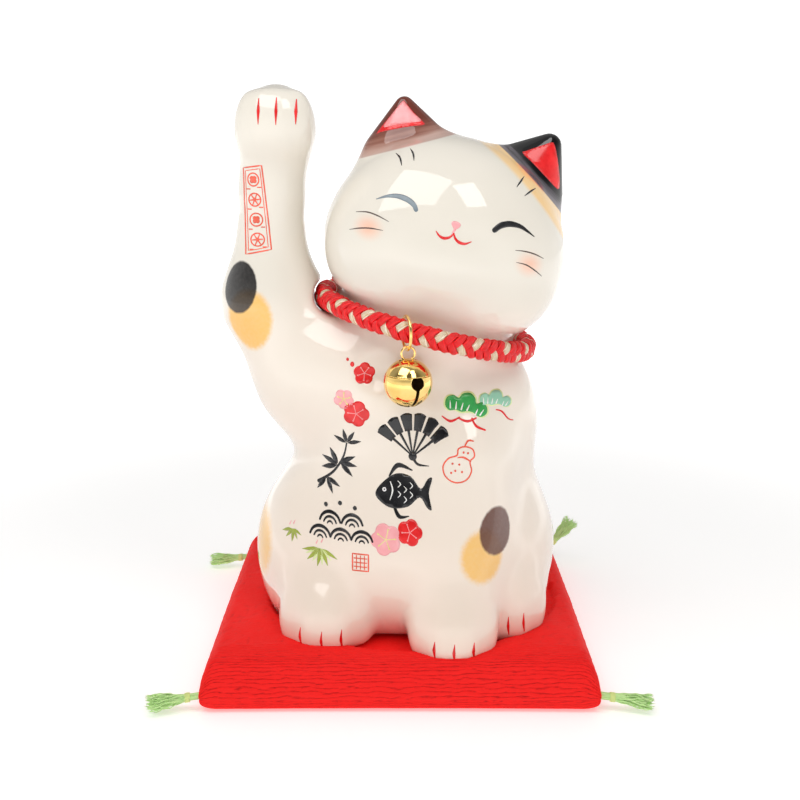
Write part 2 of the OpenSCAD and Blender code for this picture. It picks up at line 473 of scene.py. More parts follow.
def catForm(p):
    p = p.astype(np.float32)
    d = egg(p, *cat["torso"][0][:2])
    for centre, radii, soft in cat["torso"][1:]:
        d = softMin(d, egg(p, centre, radii), soft)
    for start, end, first, last, soft in cat["limbs"]:
        d = softMin(d, limb(p, start, end, first, last), soft)
    for centre, radii, soft in cat["paws"]:
        d = softMin(d, egg(p, centre, radii), soft)
    for places, height, radii in cat["toes"]:
        for x, y in places:
            d = softMin(d, egg(p, (x, y, height), radii), cat["toeSoftness"])
    q = (p - headAt) @ headTurn
    head = egg(q, *cat["skull"][0][:2])
    for centre, radii, soft in cat["skull"][1:]:
        head = softMin(head, egg(q, centre, radii), soft)
    d = softMin(d, head, 5)
    for ear in cat["ears"]:
        d = softMin(d, earForm(q, *ear), 3.0)
    q = (p - collarAt) @ collarTurn
    d = softMax(d, -ringDistance(q, cat["collarRing"], cat["grooveRadius"]), 2.2)
    # the chest keeps clear of the bell as the collar turns and the bell swings
    d = softMax(d, cat["bellRoom"] - bellDistance(q), 2.0)
    return softMax(d, cat["base"] - p[..., 2], 1.5)


def catShell(p):
    # the outside with the drain hole in its base and the hollow that the hole opens into
    centre, radii = cat["hollow"]
    x, y = cat["drainAt"]
    drain = softMax(np.hypot(p[..., 0] - x, p[..., 1] - y) - cat["drainRadius"], p[..., 2] - 30, 0.5)
    room = softMin(egg(p, centre, radii), drain, 0.8)
    return softMax(catForm(p), -room, 0.8)


glazePaint = {
    "cream": (0.90, 0.815, 0.715), "belly": (0.95, 0.765, 0.635), "headCream": (0.815, 0.765, 0.675),
    # sprayed ovals: centre, radii, turn about Y, edge softness, colour
    "ovals": [
        ((-45.8, -16.5, 109.4), (7.4, 9, 9.2), 0, 0.14, (0.97, 0.52, 0.07)),
        ((-48.6, -14.5, 119), (5.9, 8, 8.0), 0, 0.05, (0.006, 0.006, 0.009)),
        ((-47.0, -10.0, 36.5), (8.5, 17, 11.5), 0, 0.20, (0.95, 0.54, 0.12)),
        ((24.6, -41.5, 42.4), (6.9, 8, 7.9), 18, 0.18, (0.95, 0.53, 0.09)),
        ((29.0, -37.2, 49.0), (5.9, 8, 7.4), 17, 0.07, (0.120, 0.030, 0.014)),
    ],
    "blush": [((-24.3, -27, -1.6), (4.4, 9, 3.6)), ((23.4, -27, -0.2), (4.4, 9, 3.6))],
    "blushColour": (0.95, 0.52, 0.36),
}


def makeGlaze():
    material, tree, shader = newMaterial("paintedGlaze", {
        "Roughness": 0.08, "IOR": 1.46, "Coat Weight": 0.45, "Coat Roughness": 0.02, "Coat IOR": 1.5})
    where, (x, y, z) = objectPlace(tree)
    cloud = noise(tree, where, 55.0, 3.0)
    fine = noise(tree, where, 900.0, 2.0)
    height = z.rise(78.0, 14.0)
    low = height * (0.45 + cloud * 0.4)
    colour = mixColour(tree, low, glazePaint["cream"], glazePaint["belly"])
    colour = mixColour(tree, cloud.rise(0.45, 0.8) * 0.25, colour, (0.87, 0.785, 0.69))
    # the head is a little greener and darker than the body
    colour = mixColour(tree, z.rise(100.0, 122.0), colour, glazePaint["headCream"])
    for centre, radii, turn, edge, paint in glazePaint["ovals"]:
        c, s = math.cos(math.radians(turn)), math.sin(math.radians(turn))
        dx, dy, dz = x - centre[0], y - centre[1], z - centre[2]
        across = (dx * c - dz * s) * (1 / radii[0])
        along = (dx * s + dz * c) * (1 / radii[2])
        deep = dy * (1 / radii[1])
        away = (across * across + along * along + deep * deep).power(0.5)
        away = away + (cloud - 0.5) * 0.10 + (fine - 0.5) * (edge * 0.9)
        inside = away.rise(1 + edge, 1 - edge)
        thin = 1.0 - (fine * 0.16 + cloud * 0.14) * (1.0 if edge > 0.1 else 0.3)
        colour = mixColour(tree, inside * thin, colour, paint)
    # head coordinates, tilted with the head
    c, s = math.cos(math.radians(cat["headTilt"])), math.sin(math.radians(cat["headTilt"]))
    dx, dz = x - cat["headAt"][0], z - cat["headAt"][2]
    hx = dx * c - dz * s
    hy = y - cat["headAt"][1]
    hz = dx * s + dz * c
    for centre, radii in glazePaint["blush"]:
        away = (((hx - centre[0]) * (1 / radii[0])).power(2.0)
                + ((hz - centre[2]) * (1 / radii[2])).power(2.0)
                + ((hy - centre[1]) * (1 / radii[1])).power(2.0)).power(0.5)
        colour = mixColour(tree, away.rise(1.3, 0.0) * 0.8, colour, glazePaint["blushColour"])
    # brushed streaks that run along each ear band
    streakLeft = noise(tree, joinPlace(tree, (hx + hz * 0.54) * 0.05, hy * 0.02, (hz - hx * 0.54) * 0.5),
                       1.0, 3.0)
    streakRight = noise(tree, joinPlace(tree, (hx - hz * 0.62) * 0.05, hy * 0.02, (hz + hx * 0.62) * 0.5),
                        1.0, 3.0)
    rise = hz - ((hx + 32.6) * 0.54 + 15.3)
    brown = mixColour(tree, (rise + (streakLeft - 0.5) * 9.0).rise(1.0, 8.5), (0.39, 0.185, 0.135),
                      (0.14, 0.024, 0.011))
    brown = mixColour(tree, (rise + (streakLeft - 0.5) * 5.0).rise(4.0, 0.0) * 0.6, brown,
                      (0.70, 0.52, 0.45))
    colour = mixColour(tree, rise.rise(-0.15, 0.35) * hx.rise(-38.0, -37.0), colour, brown)
    bow = 1.2 - ((hx - 17.0) * (1 / 15)).power(2.0) * 1.2
    yellowRise = hz - ((hx - 2.1) * -0.67 + 29.3) - bow
    yellow = mixColour(tree, streakRight, (0.96, 0.58, 0.20), (0.95, 0.71, 0.40))
    colour = mixColour(tree, yellowRise.rise(-0.5, 1.1) * hx.rise(-2.0, 3.0), colour, yellow)
    darkRise = hz - ((hx - 7.7) * -0.623 + 30.2)
    black = mixColour(tree, (darkRise + (streakRight - 0.5) * 5.0).rise(0.8, 3.4), (0.16, 0.14, 0.165),
                      (0.003, 0.003, 0.004))
    colour = mixColour(tree, darkRise.rise(-0.15, 0.3) * hx.rise(0.0, 2.0), colour, black)
    # the foot ring is bare clay
    bare = z.rise(12.9, 12.5)
    colour = mixColour(tree, bare, colour, mixColour(tree, fine, (0.80, 0.74, 0.66), (0.66, 0.60, 0.52)))
    feed(tree, shader.inputs["Base Color"], colour)
    rough = 0.045 + cloud * 0.03 + bare * 0.55
    feed(tree, shader.inputs["Roughness"], rough)
    ripple = noise(tree, where, 38.0, 1.0) + bare * fine * 0.4
    addBump(tree, shader, ripple, 0.00035, 0.5)
    return material


glaze = makeGlaze()


def makeCat():
    points, faces = netSurface(catShell, (-59, -56, 9), (56, 48, 183), cat["meshStep"])
    piece = meshPiece("ceramicCat", points, faces, [glaze], "cat", ["ceramic_cat"])
    print("cat", len(faces) * 2, "triangles")
    return piece


makeCat()


# enamel marks on the glaze

enamel = {  # colour of each enamel
    "blackEnamel": (0.006, 0.006, 0.008),
    "greyEnamel": (0.17, 0.215, 0.245),
    "whiskerEnamel": (0.085, 0.055, 0.045),
    "redEnamel": (0.72, 0.012, 0.014),
    "stampEnamel": (0.78, 0.105, 0.055),
    "oliveEnamel": (0.33, 0.39, 0.045),
    "pinkEnamel": (0.93, 0.30, 0.31),
    "roseEnamel": (0.95, 0.40, 0.42),
    "yellowEnamel": (0.86, 0.80, 0.28),
    "greenEnamel": (0.035, 0.33, 0.075),
    "mintEnamel": (0.30, 0.60, 0.43),
    "limeEnamel": (0.70, 0.83, 0.36),
    "whiteEnamel": (0.93, 0.92, 0.86),
}
marks = {name: [] for name in enamel}
body = (np.zeros(3), np.eye(3))
head = (headAt.astype(float), headTurn.astype(float))


def curveThrough(points, closed=False, each=8):
    # a smooth line through the points
    p = np.asarray(points, float)
    count = len(p) if closed else len(p) - 1
    out = []
    for i in range(count):
        if closed:
            a, b, c, d = p[i - 1], p[i], p[(i + 1) % len(p)], p[(i + 2) % len(p)]
        else:
            a, b, c, d = p[max(i - 1, 0)], p[i], p[i + 1], p[min(i + 2, len(p) - 1)]
        t = np.linspace(0, 1, each, endpoint=False)[:, None]
        out.append(0.5 * (2 * b + (c - a) * t + (2 * a - 5 * b + 4 * c - d) * t ** 2
                          + (3 * b - a - 3 * c + d) * t ** 3))
    if not closed:
        out.append(p[-1:])
    return np.concatenate(out)


def isInside(outline, points):
    a, b = outline, np.roll(outline, -1, 0)
    over = (a[:, 1] > points[:, 1:]) != (b[:, 1] > points[:, 1:])
    rise = np.where(b[:, 1] == a[:, 1], 1, b[:, 1] - a[:, 1])
    cross = a[:, 0] + (points[:, 1:] - a[:, 1]) * (b[:, 0] - a[:, 0]) / rise
    return (over & (points[:, :1] < cross)).sum(1) % 2 == 1


def fillMark(colour, outline, place=body, layer=0, grain=0.9):
    # a filled outline, with points inside it so that it follows the glaze
    outline = np.asarray(outline, float)
    low, high = outline.min(0), outline.max(0)
    xs = np.arange(low[0] + grain / 2, high[0], grain)
    zs = np.arange(low[1] + grain / 2, high[1], grain)
    grid = np.stack(np.meshgrid(xs, zs), -1).reshape(-1, 2)
    away = np.linalg.norm(grid[:, None] - outline[None], axis=-1).min(1)
    points = np.concatenate([outline, grid[isInside(outline, grid) & (away > grain * 0.45)]])
    rim = [(k, (k + 1) % len(outline)) for k in range(len(outline))]
    found = delaunay_2d_cdt([Vector(p) for p in points], rim, [], 0, 1e-5, False)
    flat = np.array([tuple(v) for v in found[0]])
    faces = np.array([list(f) for f in found[2]])
    faces = faces[isInside(outline, flat[faces].mean(1))]
    marks[colour].append((flat, faces.tolist(), place, layer))


def stroke(colour, points, widths, place=body, layer=0, smooth=True, closed=False):
    # a brush stroke: a strip along the line through the points, as wide as the widths along it
    if smooth and (len(points) > 2):
        line = curveThrough(points, closed, 7)
    else:
        p = np.asarray(points, float)
        ends = np.roll(p, -1, 0) if closed else p[1:]
        line = np.concatenate([a + (b - a) * np.linspace(0, 1, 7, endpoint=False)[:, None]
                               for a, b in zip(p, ends)] + ([] if closed else [p[-1:]]))
    step = np.linalg.norm(np.diff(line, axis=0), axis=1)
    along = np.concatenate([[0], np.cumsum(step)]) / step.sum()
    half = np.interp(along, np.linspace(0, 1, len(widths)), widths) / 2
    if closed:
        direction = np.roll(line, -1, 0) - np.roll(line, 1, 0)
    else:
        direction = np.gradient(line, axis=0)
        # round ends
        turn = np.linspace(0, math.pi / 2, 4)[:-1]
        tip = direction[[0, -1]] / np.linalg.norm(direction[[0, -1]], axis=1, keepdims=True)
        first = line[0] - tip[0] * (half[0] * np.cos(turn))[:, None]
        last = line[-1] + tip[1] * (half[-1] * np.cos(turn))[::-1, None]
        line = np.concatenate([first, line, last])
        direction = np.concatenate([np.repeat(tip[:1], 3, 0), direction, np.repeat(tip[1:], 3, 0)])
        rounded = np.sin(turn) + 0.02
        half = np.concatenate([half[0] * rounded, half, half[-1] * rounded[::-1]])
    direction = direction / np.maximum(np.linalg.norm(direction, axis=1, keepdims=True), 1e-9)
    side = np.stack([-direction[:, 1], direction[:, 0]], 1) * half[:, None]
    across = np.linspace(-1, 1, 3 if half.max() < 0.5 else 5)
    points = (line[:, None] + side[:, None] * across[None, :, None]).reshape(-1, 2)
    rows, wide = len(line), len(across)
    faces = [[i * wide + j, i * wide + j + 1, (i + 1) % rows * wide + j + 1, (i + 1) % rows * wide + j]
             for i in range(rows if closed else rows - 1) for j in range(wide - 1)]
    marks[colour].append((points, faces, place, layer))


def loop(colour, centre, radii, width, place=body, layer=0, turn=0.0):
    # an outlined oval, drawn as a stroke that meets itself
    t = np.linspace(0, 2 * math.pi, 12, endpoint=False)
    c, s = math.cos(turn), math.sin(turn)
    x, z = radii[0] * np.cos(t), radii[1] * np.sin(t)
    stroke(colour, np.stack([centre[0] + x * c - z * s, centre[1] + x * s + z * c], 1), [width] * 2,
           place, layer, closed=True)


def disc(colour, centre, radii, place=body, layer=0, turn=0.0, count=20):
    t = np.linspace(0, 2 * math.pi, count, endpoint=False)
    c, s = math.cos(turn), math.sin(turn)
    x, z = radii[0] * np.cos(t), radii[1] * np.sin(t)
    fillMark(colour, np.stack([centre[0] + x * c - z * s, centre[1] + x * s + z * c], 1), place, layer)


def lobed(centre, radius, lobes, depth, turn=0.0):
    # the outline of a flower with round petals
    t = np.linspace(0, 2 * math.pi, lobes * 9, endpoint=False)
    r = radius * (1 - depth + depth * np.abs(np.cos(lobes * t / 2)) ** 0.55)
    return np.stack([centre[0] + r * np.cos(t + turn), centre[1] + r * np.sin(t + turn)], 1)


def plum(centre, radius, colour, turn, light):
    # a five-petalled blossom with fine stamens
    fillMark(colour, lobed(centre, radius, 5, 0.26, turn), body, 0, 0.7)
    for k in range(5):
        angle = turn + 2 * math.pi * (k + 0.5) / 5
        tip = (centre[0] + 0.60 * radius * math.cos(angle), centre[1] + 0.60 * radius * math.sin(angle))
        stroke(light, [centre, tip], [0.18, 0.24], body, 1)
        disc(light, tip, (0.26, 0.26), body, 1, count=8)


def pine(centre, scale, green, turn, branch):
    # three round clumps with white needles and a light rim over a red branch
    c, s = math.cos(turn), math.sin(turn)

    def put(points):
        p = np.asarray(points, float) * scale
        return np.stack([centre[0] + p[:, 0] * c - p[:, 1] * s, centre[1] + p[:, 0] * s + p[:, 1] * c], 1)

    clump = [(-6.2, -0.6), (-6.0, 1.5), (-4.2, 2.4), (-2.6, 1.9), (-1.6, 3.2), (0.6, 3.6), (2.2, 2.4),
             (2.8, 1.0), (4.4, 1.5), (6.0, 0.4), (6.3, -1.2), (5.0, -2.3), (3.4, -2.2), (2.2, -1.5),
             (0.4, -1.3), (-1.2, -1.7),
             (-3.0, -1.4), (-4.8, -1.8)]
    smooth = curveThrough(clump, True, 4)
    rim = smooth * (1 + 0.45 / np.maximum(np.linalg.norm(smooth, axis=1, keepdims=True), 1.5))
    fillMark("limeEnamel", put(rim), body, 0)
    fillMark(green, put(smooth), body, 1)
    for x, lean, length in ((-4.6, -0.35, 1.9), (-3.0, -0.1, 1.9), (-1.4, 0.25, 1.8), (0.3, 0.5, 1.5),
                            (2.9, 0.5, 1.5), (4.3, 0.9, 1.5)):
        foot = (x, -1.1 if x < 1 else -1.9)
        stroke("whiteEnamel", put([foot, (x + lean * 0.6, foot[1] + length * 0.6),
                                   (x + lean, foot[1] + length)]),
               [0.42 * scale, 0.34 * scale, 0.10], body, 2)
    for line, widths in branch:
        stroke("redEnamel", put(line), widths, body, 1)


def leafSprig(centre, leaves, colour):
    # bamboo leaves that fan from one point
    for angle, length, width in leaves:
        a = math.radians(angle)
        tip = (centre[0] + length * math.cos(a), centre[1] + length * math.sin(a))
        middle = (centre[0] * 0.55 + tip[0] * 0.45 + 0.25, centre[1] * 0.55 + tip[1] * 0.45 + 0.25)
        stroke(colour, [centre, middle, tip], [0.35, width, width * 0.75, 0.12], body, 0)


def faceMarks():
    stroke("greyEnamel", [(-23.8, 6.6), (-21, 8.2), (-18.1, 9.0), (-15.2, 8.8), (-13.2, 7.9), (-12.3, 6.8)],
           [0.2, 0.65, 1.15, 1.5, 1.5, 1.2], head)
    stroke("blackEnamel", [(10.6, 6.9), (12.1, 8.5), (14.6, 9.5), (17.7, 9.5), (20.4, 8.6), (22.7, 7.6)],
           [1.5, 1.75, 1.6, 1.15, 0.7, 0.2], head)
    nose = curveThrough([(-1.7, 6.2), (-0.5, 6.6), (0.7, 6.2), (0.8, 5.4), (-0.3, 4.4), (-1.4, 5.1)],
                        True, 5)
    fillMark("roseEnamel", nose, head, 0, 0.6)
    stroke("redEnamel", [(-5.4, 2.6), (-4.2, 1.6), (-2.8, 1.3), (-1.4, 1.9), (-0.4, 3.2)],
           [0.22, 0.6, 0.8, 0.6, 0.4], head, 1)
    stroke("redEnamel", [(-0.5, 3.2), (0.4, 1.9), (1.8, 1.2), (3.4, 1.3), (4.9, 2.2)],
           [0.4, 0.65, 0.85, 0.6, 0.22], head, 1)
    stroke("roseEnamel", [(-0.4, 4.4), (-0.8, 3.2)], [0.8, 0.5], head)
    whiskers = [
        [(-28.6, 1.5), (-25.5, 2.4), (-22.3, 2.3), (-18.9, 1.6)],
        [(-29.2, -3.8), (-26.4, -2.5), (-23.3, -1.6), (-19.9, -1.2)],
        [(18.0, 2.8), (20.9, 3.1), (24.1, 2.9), (27.2, 2.2)],
        [(19.2, -0.4), (22.2, -0.5), (25, -1.4), (28.0, -2.8)],
    ]
    for line in whiskers:
        stroke("whiskerEnamel", line, [0.12, 0.36, 0.36, 0.12], head)
    for line in ([(-21.6, 20.2), (-20.2, 19.3), (-19.2, 17.4)],
                 [(-17.9, 22.5), (-16.8, 21.4), (-16.1, 19.6)],
                 [(16.3, 23.2), (15.5, 21.8), (14.4, 19.8)], [(20.5, 20.7), (19.0, 19.6), (17.3, 18.0)]):
        stroke("blackEnamel", line, [0.14, 0.55, 0.50, 0.16], head)
    # the painted hollows of the ears
    left = curveThrough([(-23.5, 35.3), (-22.4, 35.0), (-19.5, 32.9), (-16.3, 31.1), (-15.6, 30.2),
                         (-19.5, 28.7),
                         (-24.2, 26.6), (-27.8, 24.8), (-28.7, 24.1), (-27.9, 26.2), (-25.6, 31.0)], True,
                        4)
    fillMark("redEnamel", left, head, 0, 0.7)
    pink = curveThrough([(-23.5, 35.1), (-22.4, 34.8), (-19.6, 32.7), (-16.7, 31.1), (-19.6, 29.8),
                         (-24.0, 28.0),
                         (-27.1, 26.6), (-25.5, 31.0)], True, 4)
    fillMark("pinkEnamel", pink, head, 1, 0.7)
    right = curveThrough([(15.2, 29.6), (16.2, 30.6), (20.6, 33.4), (23.1, 34.9), (24.2, 34.2),
                          (25.8, 31.2),
                          (28.0, 26.0), (28.8, 22.9), (28.0, 22.2), (24.0, 24.4), (19.0, 27.4)], True, 4)
    fillMark("redEnamel", right, head, 0, 0.7)


def pawMarks():
    for x, z, top in ((-41.2, 167.2, 174.4), (-36.0, 167.0, 174.6), (-30.4, 167.2, 174.2)):
        stroke("redEnamel", [(x + 0.2, top), (x + 0.1, (z + top) / 2), (x, z)], [0.3, 0.95, 0.2])
    for x, z, low in ((-29.8, 20.8, 14.0), (-23.3, 20.3, 13.3), (-17.4, 20.6, 13.6)):
        stroke("redEnamel", [(x, z), (x - 0.3, (z + low) / 2), (x + 0.2, low)], [0.15, 0.85, 0.3])
    for x, z, low in ((10.2, 19.8, 14.2), (16.0, 19.4, 13.4), (21.8, 19.4, 13.8)):
        stroke("redEnamel", [(x, z), (x - 0.2, (z + low) / 2), (x + 0.1, low)], [0.15, 0.95, 0.3])
    for x, z, low in ((33.0, 21.6, 15.2), (37.8, 22.2, 15.8)):
        stroke("redEnamel", [(x, z), (x, (z + low) / 2), (x + 0.4, low)], [0.15, 0.85, 0.3])


def brushOrnaments():
    # four bold ink pictures: a folding fan, a sea bream, a bamboo spray and rolling waves
    ink = "blackEnamel"
    pivot = np.array([3.8, 70.4])

    def ray(angle, radius):
        return pivot + radius * np.array([math.cos(math.radians(angle)), math.sin(math.radians(angle))])

    for k in range(6):
        first, last = 31 + 20 * k, 31 + 20 * k + 16.5
        panel = [ray(first + (last - first) * t, 13.0 - 0.5 * (t - 0.5) ** 2 * 4)
                 for t in np.linspace(0, 1, 5)]
        panel += [ray(last - (last - first) * t, 7.6) for t in np.linspace(0, 1, 4)]
        fillMark(ink, panel, body, 0)
        stroke(ink, [ray((first + last) / 2, 1.0), ray((first + last) / 2, 7.8)], [0.45, 0.8])
    disc(ink, pivot, (1.25, 1.25))
    stroke(ink, [pivot + (0.2, -0.6), pivot + (1.6, -2.2), pivot + (4.8, -2.4)], [0.8, 0.7, 0.2])
    # the bream, with a light eye, gill and scales
    fish = curveThrough([(-7.4, 59.4), (-5.4, 62.4), (-1.2, 65.2), (3.2, 64.6), (6.2, 61.4), (8.2, 64.2),
                         (9.6, 64.6), (8.6, 60.4), (9.4, 56.0), (8.0, 56.4), (5.9, 59.0), (2.4, 56.2),
                         (-2.4, 55.6),
                         (-5.8, 57.2)], True, 4)
    fillMark(ink, fish)
    stroke(ink, [(-3.2, 64.4), (-0.6, 67.6), (3.6, 66.4)], [0.5, 1.5, 0.4])
    stroke(ink, [(-1.8, 56.2), (-0.2, 53.4), (2.6, 53.6)], [0.8, 1.2, 0.3])
    disc("whiteEnamel", (-4.7, 60.6), (0.62, 0.62), layer=1, count=12)
    disc(ink, (-4.7, 60.6), (0.26, 0.26), layer=2, count=8)
    stroke("whiteEnamel", [(-2.9, 62.8), (-2.2, 60.4), (-3.0, 57.8)], [0.25, 0.45, 0.2], layer=1)
    for x, z in ((-0.4, 62.2), (-0.4, 59.4), (1.4, 60.8), (1.4, 58.0), (3.2, 62.0), (3.2, 59.4)):
        stroke("whiteEnamel", [(x - 0.2, z + 0.9), (x + 0.55, z), (x - 0.2, z - 0.9)], [0.14, 0.3, 0.14],
               layer=1)
    # a thin bamboo branch with broad leaves in threes
    stroke(ink, [(-25.2, 60.2), (-20.6, 63.6), (-17.4, 68.4), (-16.2, 73.0)], [0.85, 0.7, 0.6, 0.45])
    for x, z, angles, length in ((-16.2, 73.0, (12, 58, 104, 152), 4.4),
                                 (-18.9, 66.0, (118, 158, 196), 5.4),
                                 (-18.4, 66.8, (-42, -6, 26), 5.2), (-22.6, 62.0, (-64, -26, 232), 4.6)):
        for angle in angles:
            a = math.radians(angle)
            ahead = np.array([math.cos(a), math.sin(a)])
            across = np.array([-ahead[1], ahead[0]])
            leaf = [(x, z) + ahead * length * t + across * length * w for t, w in (
                (0.08, 0.02), (0.3, 0.13), (0.55, 0.155), (0.8, 0.09), (1.05, 0.0),
                (0.8, -0.08), (0.55, -0.135), (0.3, -0.115), (0.08, -0.02))]
            fillMark(ink, leaf, body, 0, 0.7)
    # the waves, nested arcs in two rows
    for x, z in ((-21.2, 49.6), (-14.4, 49.6), (-24.2, 45.4), (-17.8, 45.4), (-11.4, 45.4)):
        for radius, width in ((3.3, 1.0), (2.0, 0.75), (0.8, 0.6)):
            arc = [(x + radius * math.cos(t), z + radius * math.sin(t))
                   for t in np.linspace(0.25, math.pi - 0.25, 7)]
            stroke(ink, arc, [width * 0.6, width, width * 0.6])
    for x, z in ((-18.2, 55.6), (-13.6, 54.8), (-22.6, 54.6)):
        disc(ink, (x, z), (0.62, 0.62), count=12)


def bodyMarks():
    plum((-10.7, 94.6), 3.3, "redEnamel", 1.5, "pinkEnamel")
    disc("redEnamel", (-14.3, 97.4), (0.62, 0.75))
    disc("redEnamel", (-15.7, 98.8), (0.42, 0.5))
    plum((-16.9, 87.0), 3.1, "roseEnamel", 0.9, "yellowEnamel")
    plum((-13.2, 82.6), 4.1, "redEnamel", 1.2, "pinkEnamel")
    plum((-4.2, 47.0), 4.6, "roseEnamel", 0.7, "yellowEnamel")
    plum((2.9, 49.2), 3.8, "redEnamel", 1.3, "pinkEnamel")
    pine((29.0, 85.8), 0.80, "mintEnamel", -0.12,
         [([(0.6, -3.3), (3.0, -4.0), (5.8, -6.6), (8.0, -7.4)], [0.3, 0.5, 0.4, 0.25])])
    pine((20.0, 84.9), 1.04, "greenEnamel", -0.17,
         [([(-6.6, -3.7), (-4.0, -4.6), (-1.6, -3.2)], [0.35, 0.75, 0.4]),
          ([(-2.0, -3.4), (0.8, -3.9), (3.2, -2.8)], [0.45, 0.7, 0.45]),
          ([(2.0, -3.0), (3.6, -4.8), (6.4, -5.6)], [0.45, 0.7, 0.4])])
    leafSprig((-33.4, 45.6), [(200, 3.4, 0.9), (232, 3.0, 0.9), (272, 3.2, 1.0), (310, 2.8, 0.9),
                              (345, 3.2, 0.9)],
              "oliveEnamel")
    leafSprig((-24.3, 42.2), [(190, 5.6, 1.1), (222, 5.2, 1.3), (262, 4.8, 1.3), (300, 5.0, 1.3),
                              (338, 5.8, 1.2)],
              "oliveEnamel")
    leafSprig((-24.3, 42.4), [(205, 4.8, 0.9), (240, 4.4, 1.0), (280, 4.6, 1.0), (320, 4.6, 0.9)],
              "limeEnamel")
    for x, z in ((-34.2, 46.8), (-32.9, 47.3), (-25.4, 43.7), (-23.8, 44.3)):
        stroke("roseEnamel", [(x, z), (x + 0.5, z + 1.0)], [0.4, 0.15])


def gourdMark():
    line = curveThrough([(19.4, 74.0), (21.6, 73.2), (22.1, 71.2), (20.8, 69.8), (21.2, 67.0), (19.6, 64.6),
                         (16.4, 63.9), (13.6, 65.4), (12.8, 68.2), (14.4, 70.6), (16.9, 71.6),
                         (17.4, 73.4)], True, 6)
    stroke("stampEnamel", line, [0.42, 0.42], smooth=False, closed=True)
    stroke("stampEnamel", [(19.2, 74.0), (20.3, 75.6), (21.9, 75.4)], [0.4, 0.6, 0.3])
    stroke("stampEnamel", [(17.2, 71.0), (19.0, 71.0), (21.0, 69.8)], [0.3, 0.6, 0.3])
    for x, z in ((18.9, 72.4), (20.2, 72.2), (15.6, 69.2), (17.6, 69.0), (16.4, 67.2), (18.4, 66.9),
                 (15.2, 66.6)):
        disc("stampEnamel", (x, z), (0.34, 0.34), count=10)


def sealMark():
    # a small square seal filled with a lattice
    left, right, low, high = -14.2, -9.4, 37.4, 42.4
    corners = [(left, low), (right, low), (right, high), (left, high)]
    stroke("stampEnamel", corners, [0.42, 0.42], smooth=False, closed=True)
    for k in (1, 2, 3):
        x = left + (right - left) * k / 4
        z = low + (high - low) * k / 4
        stroke("stampEnamel", [(x, low + 0.5), (x, high - 0.5)], [0.28, 0.28], layer=1)
        stroke("stampEnamel", [(left + 0.5, z), (right - 0.5, z)], [0.28, 0.28], layer=2)


def armStamp():
    # a long double frame with four small crests one above the other
    a, b, c, d = (np.array(p) for p in ((-47.0, 154.6), (-41.0, 155.4), (-38.8, 130.6), (-46.8, 129.0)))

    def put(u, v):
        p = a * (1 - u) * (1 - v) + b * u * (1 - v) + c * u * v + d * (1 - u) * v
        return tuple(p)

    for inset, width in ((0.0, 0.42), (0.11, 0.24)):
        e = inset * 0.32
        corners = [(inset, e), (1 - inset, e), (1 - inset, 1 - e), (inset, 1 - e)]
        stroke("stampEnamel", [put(u, v) for u, v in corners], [width, width], smooth=False, closed=True)
    for k in range(4):
        v = 0.15 + 0.235 * k
        middle = put(0.5, v)
        loop("stampEnamel", middle, (1.75 + 0.12 * k, 1.9), 0.42, turn=0.1)
        if k % 2:
            for turn in (0.1, 1.15, 2.2):
                dx, dz = 1.6 * math.cos(turn), 1.6 * math.sin(turn)
                stroke("stampEnamel", [(middle[0] - dx, middle[1] - dz), (middle[0] + dx, middle[1] + dz)],
                       [0.3, 0.5, 0.3], layer=1)
        else:
            fillMark("stampEnamel", lobed(middle, 1.25, 4, 0.4, 0.8), body, 1, 0.6)
        for u in (0.24, 0.76):
            x, z = put(u, v + 0.1)
            stroke("stampEnamel", [(x - 0.5, z), (x + 0.5, z)], [0.35, 0.35])


def makeEnamel(name, colour):
    material, tree, shader = newMaterial(name, {
        "Roughness": 0.2, "IOR": 1.47, "Coat Weight": 0.3, "Coat Roughness": 0.04})
    where, _ = objectPlace(tree)
    cloud = noise(tree, where, 260.0, 3.0)
    worn = tuple(min(1.0, c * 1.25 + 0.015) for c in colour)
    feed(tree, shader.inputs["Base Color"], mixColour(tree, cloud.rise(0.35, 0.75), colour, worn))
    feed(tree, shader.inputs["Roughness"], cloud * 0.12 + 0.12)
    addBump(tree, shader, cloud, 0.00006, 0.4)
    return material


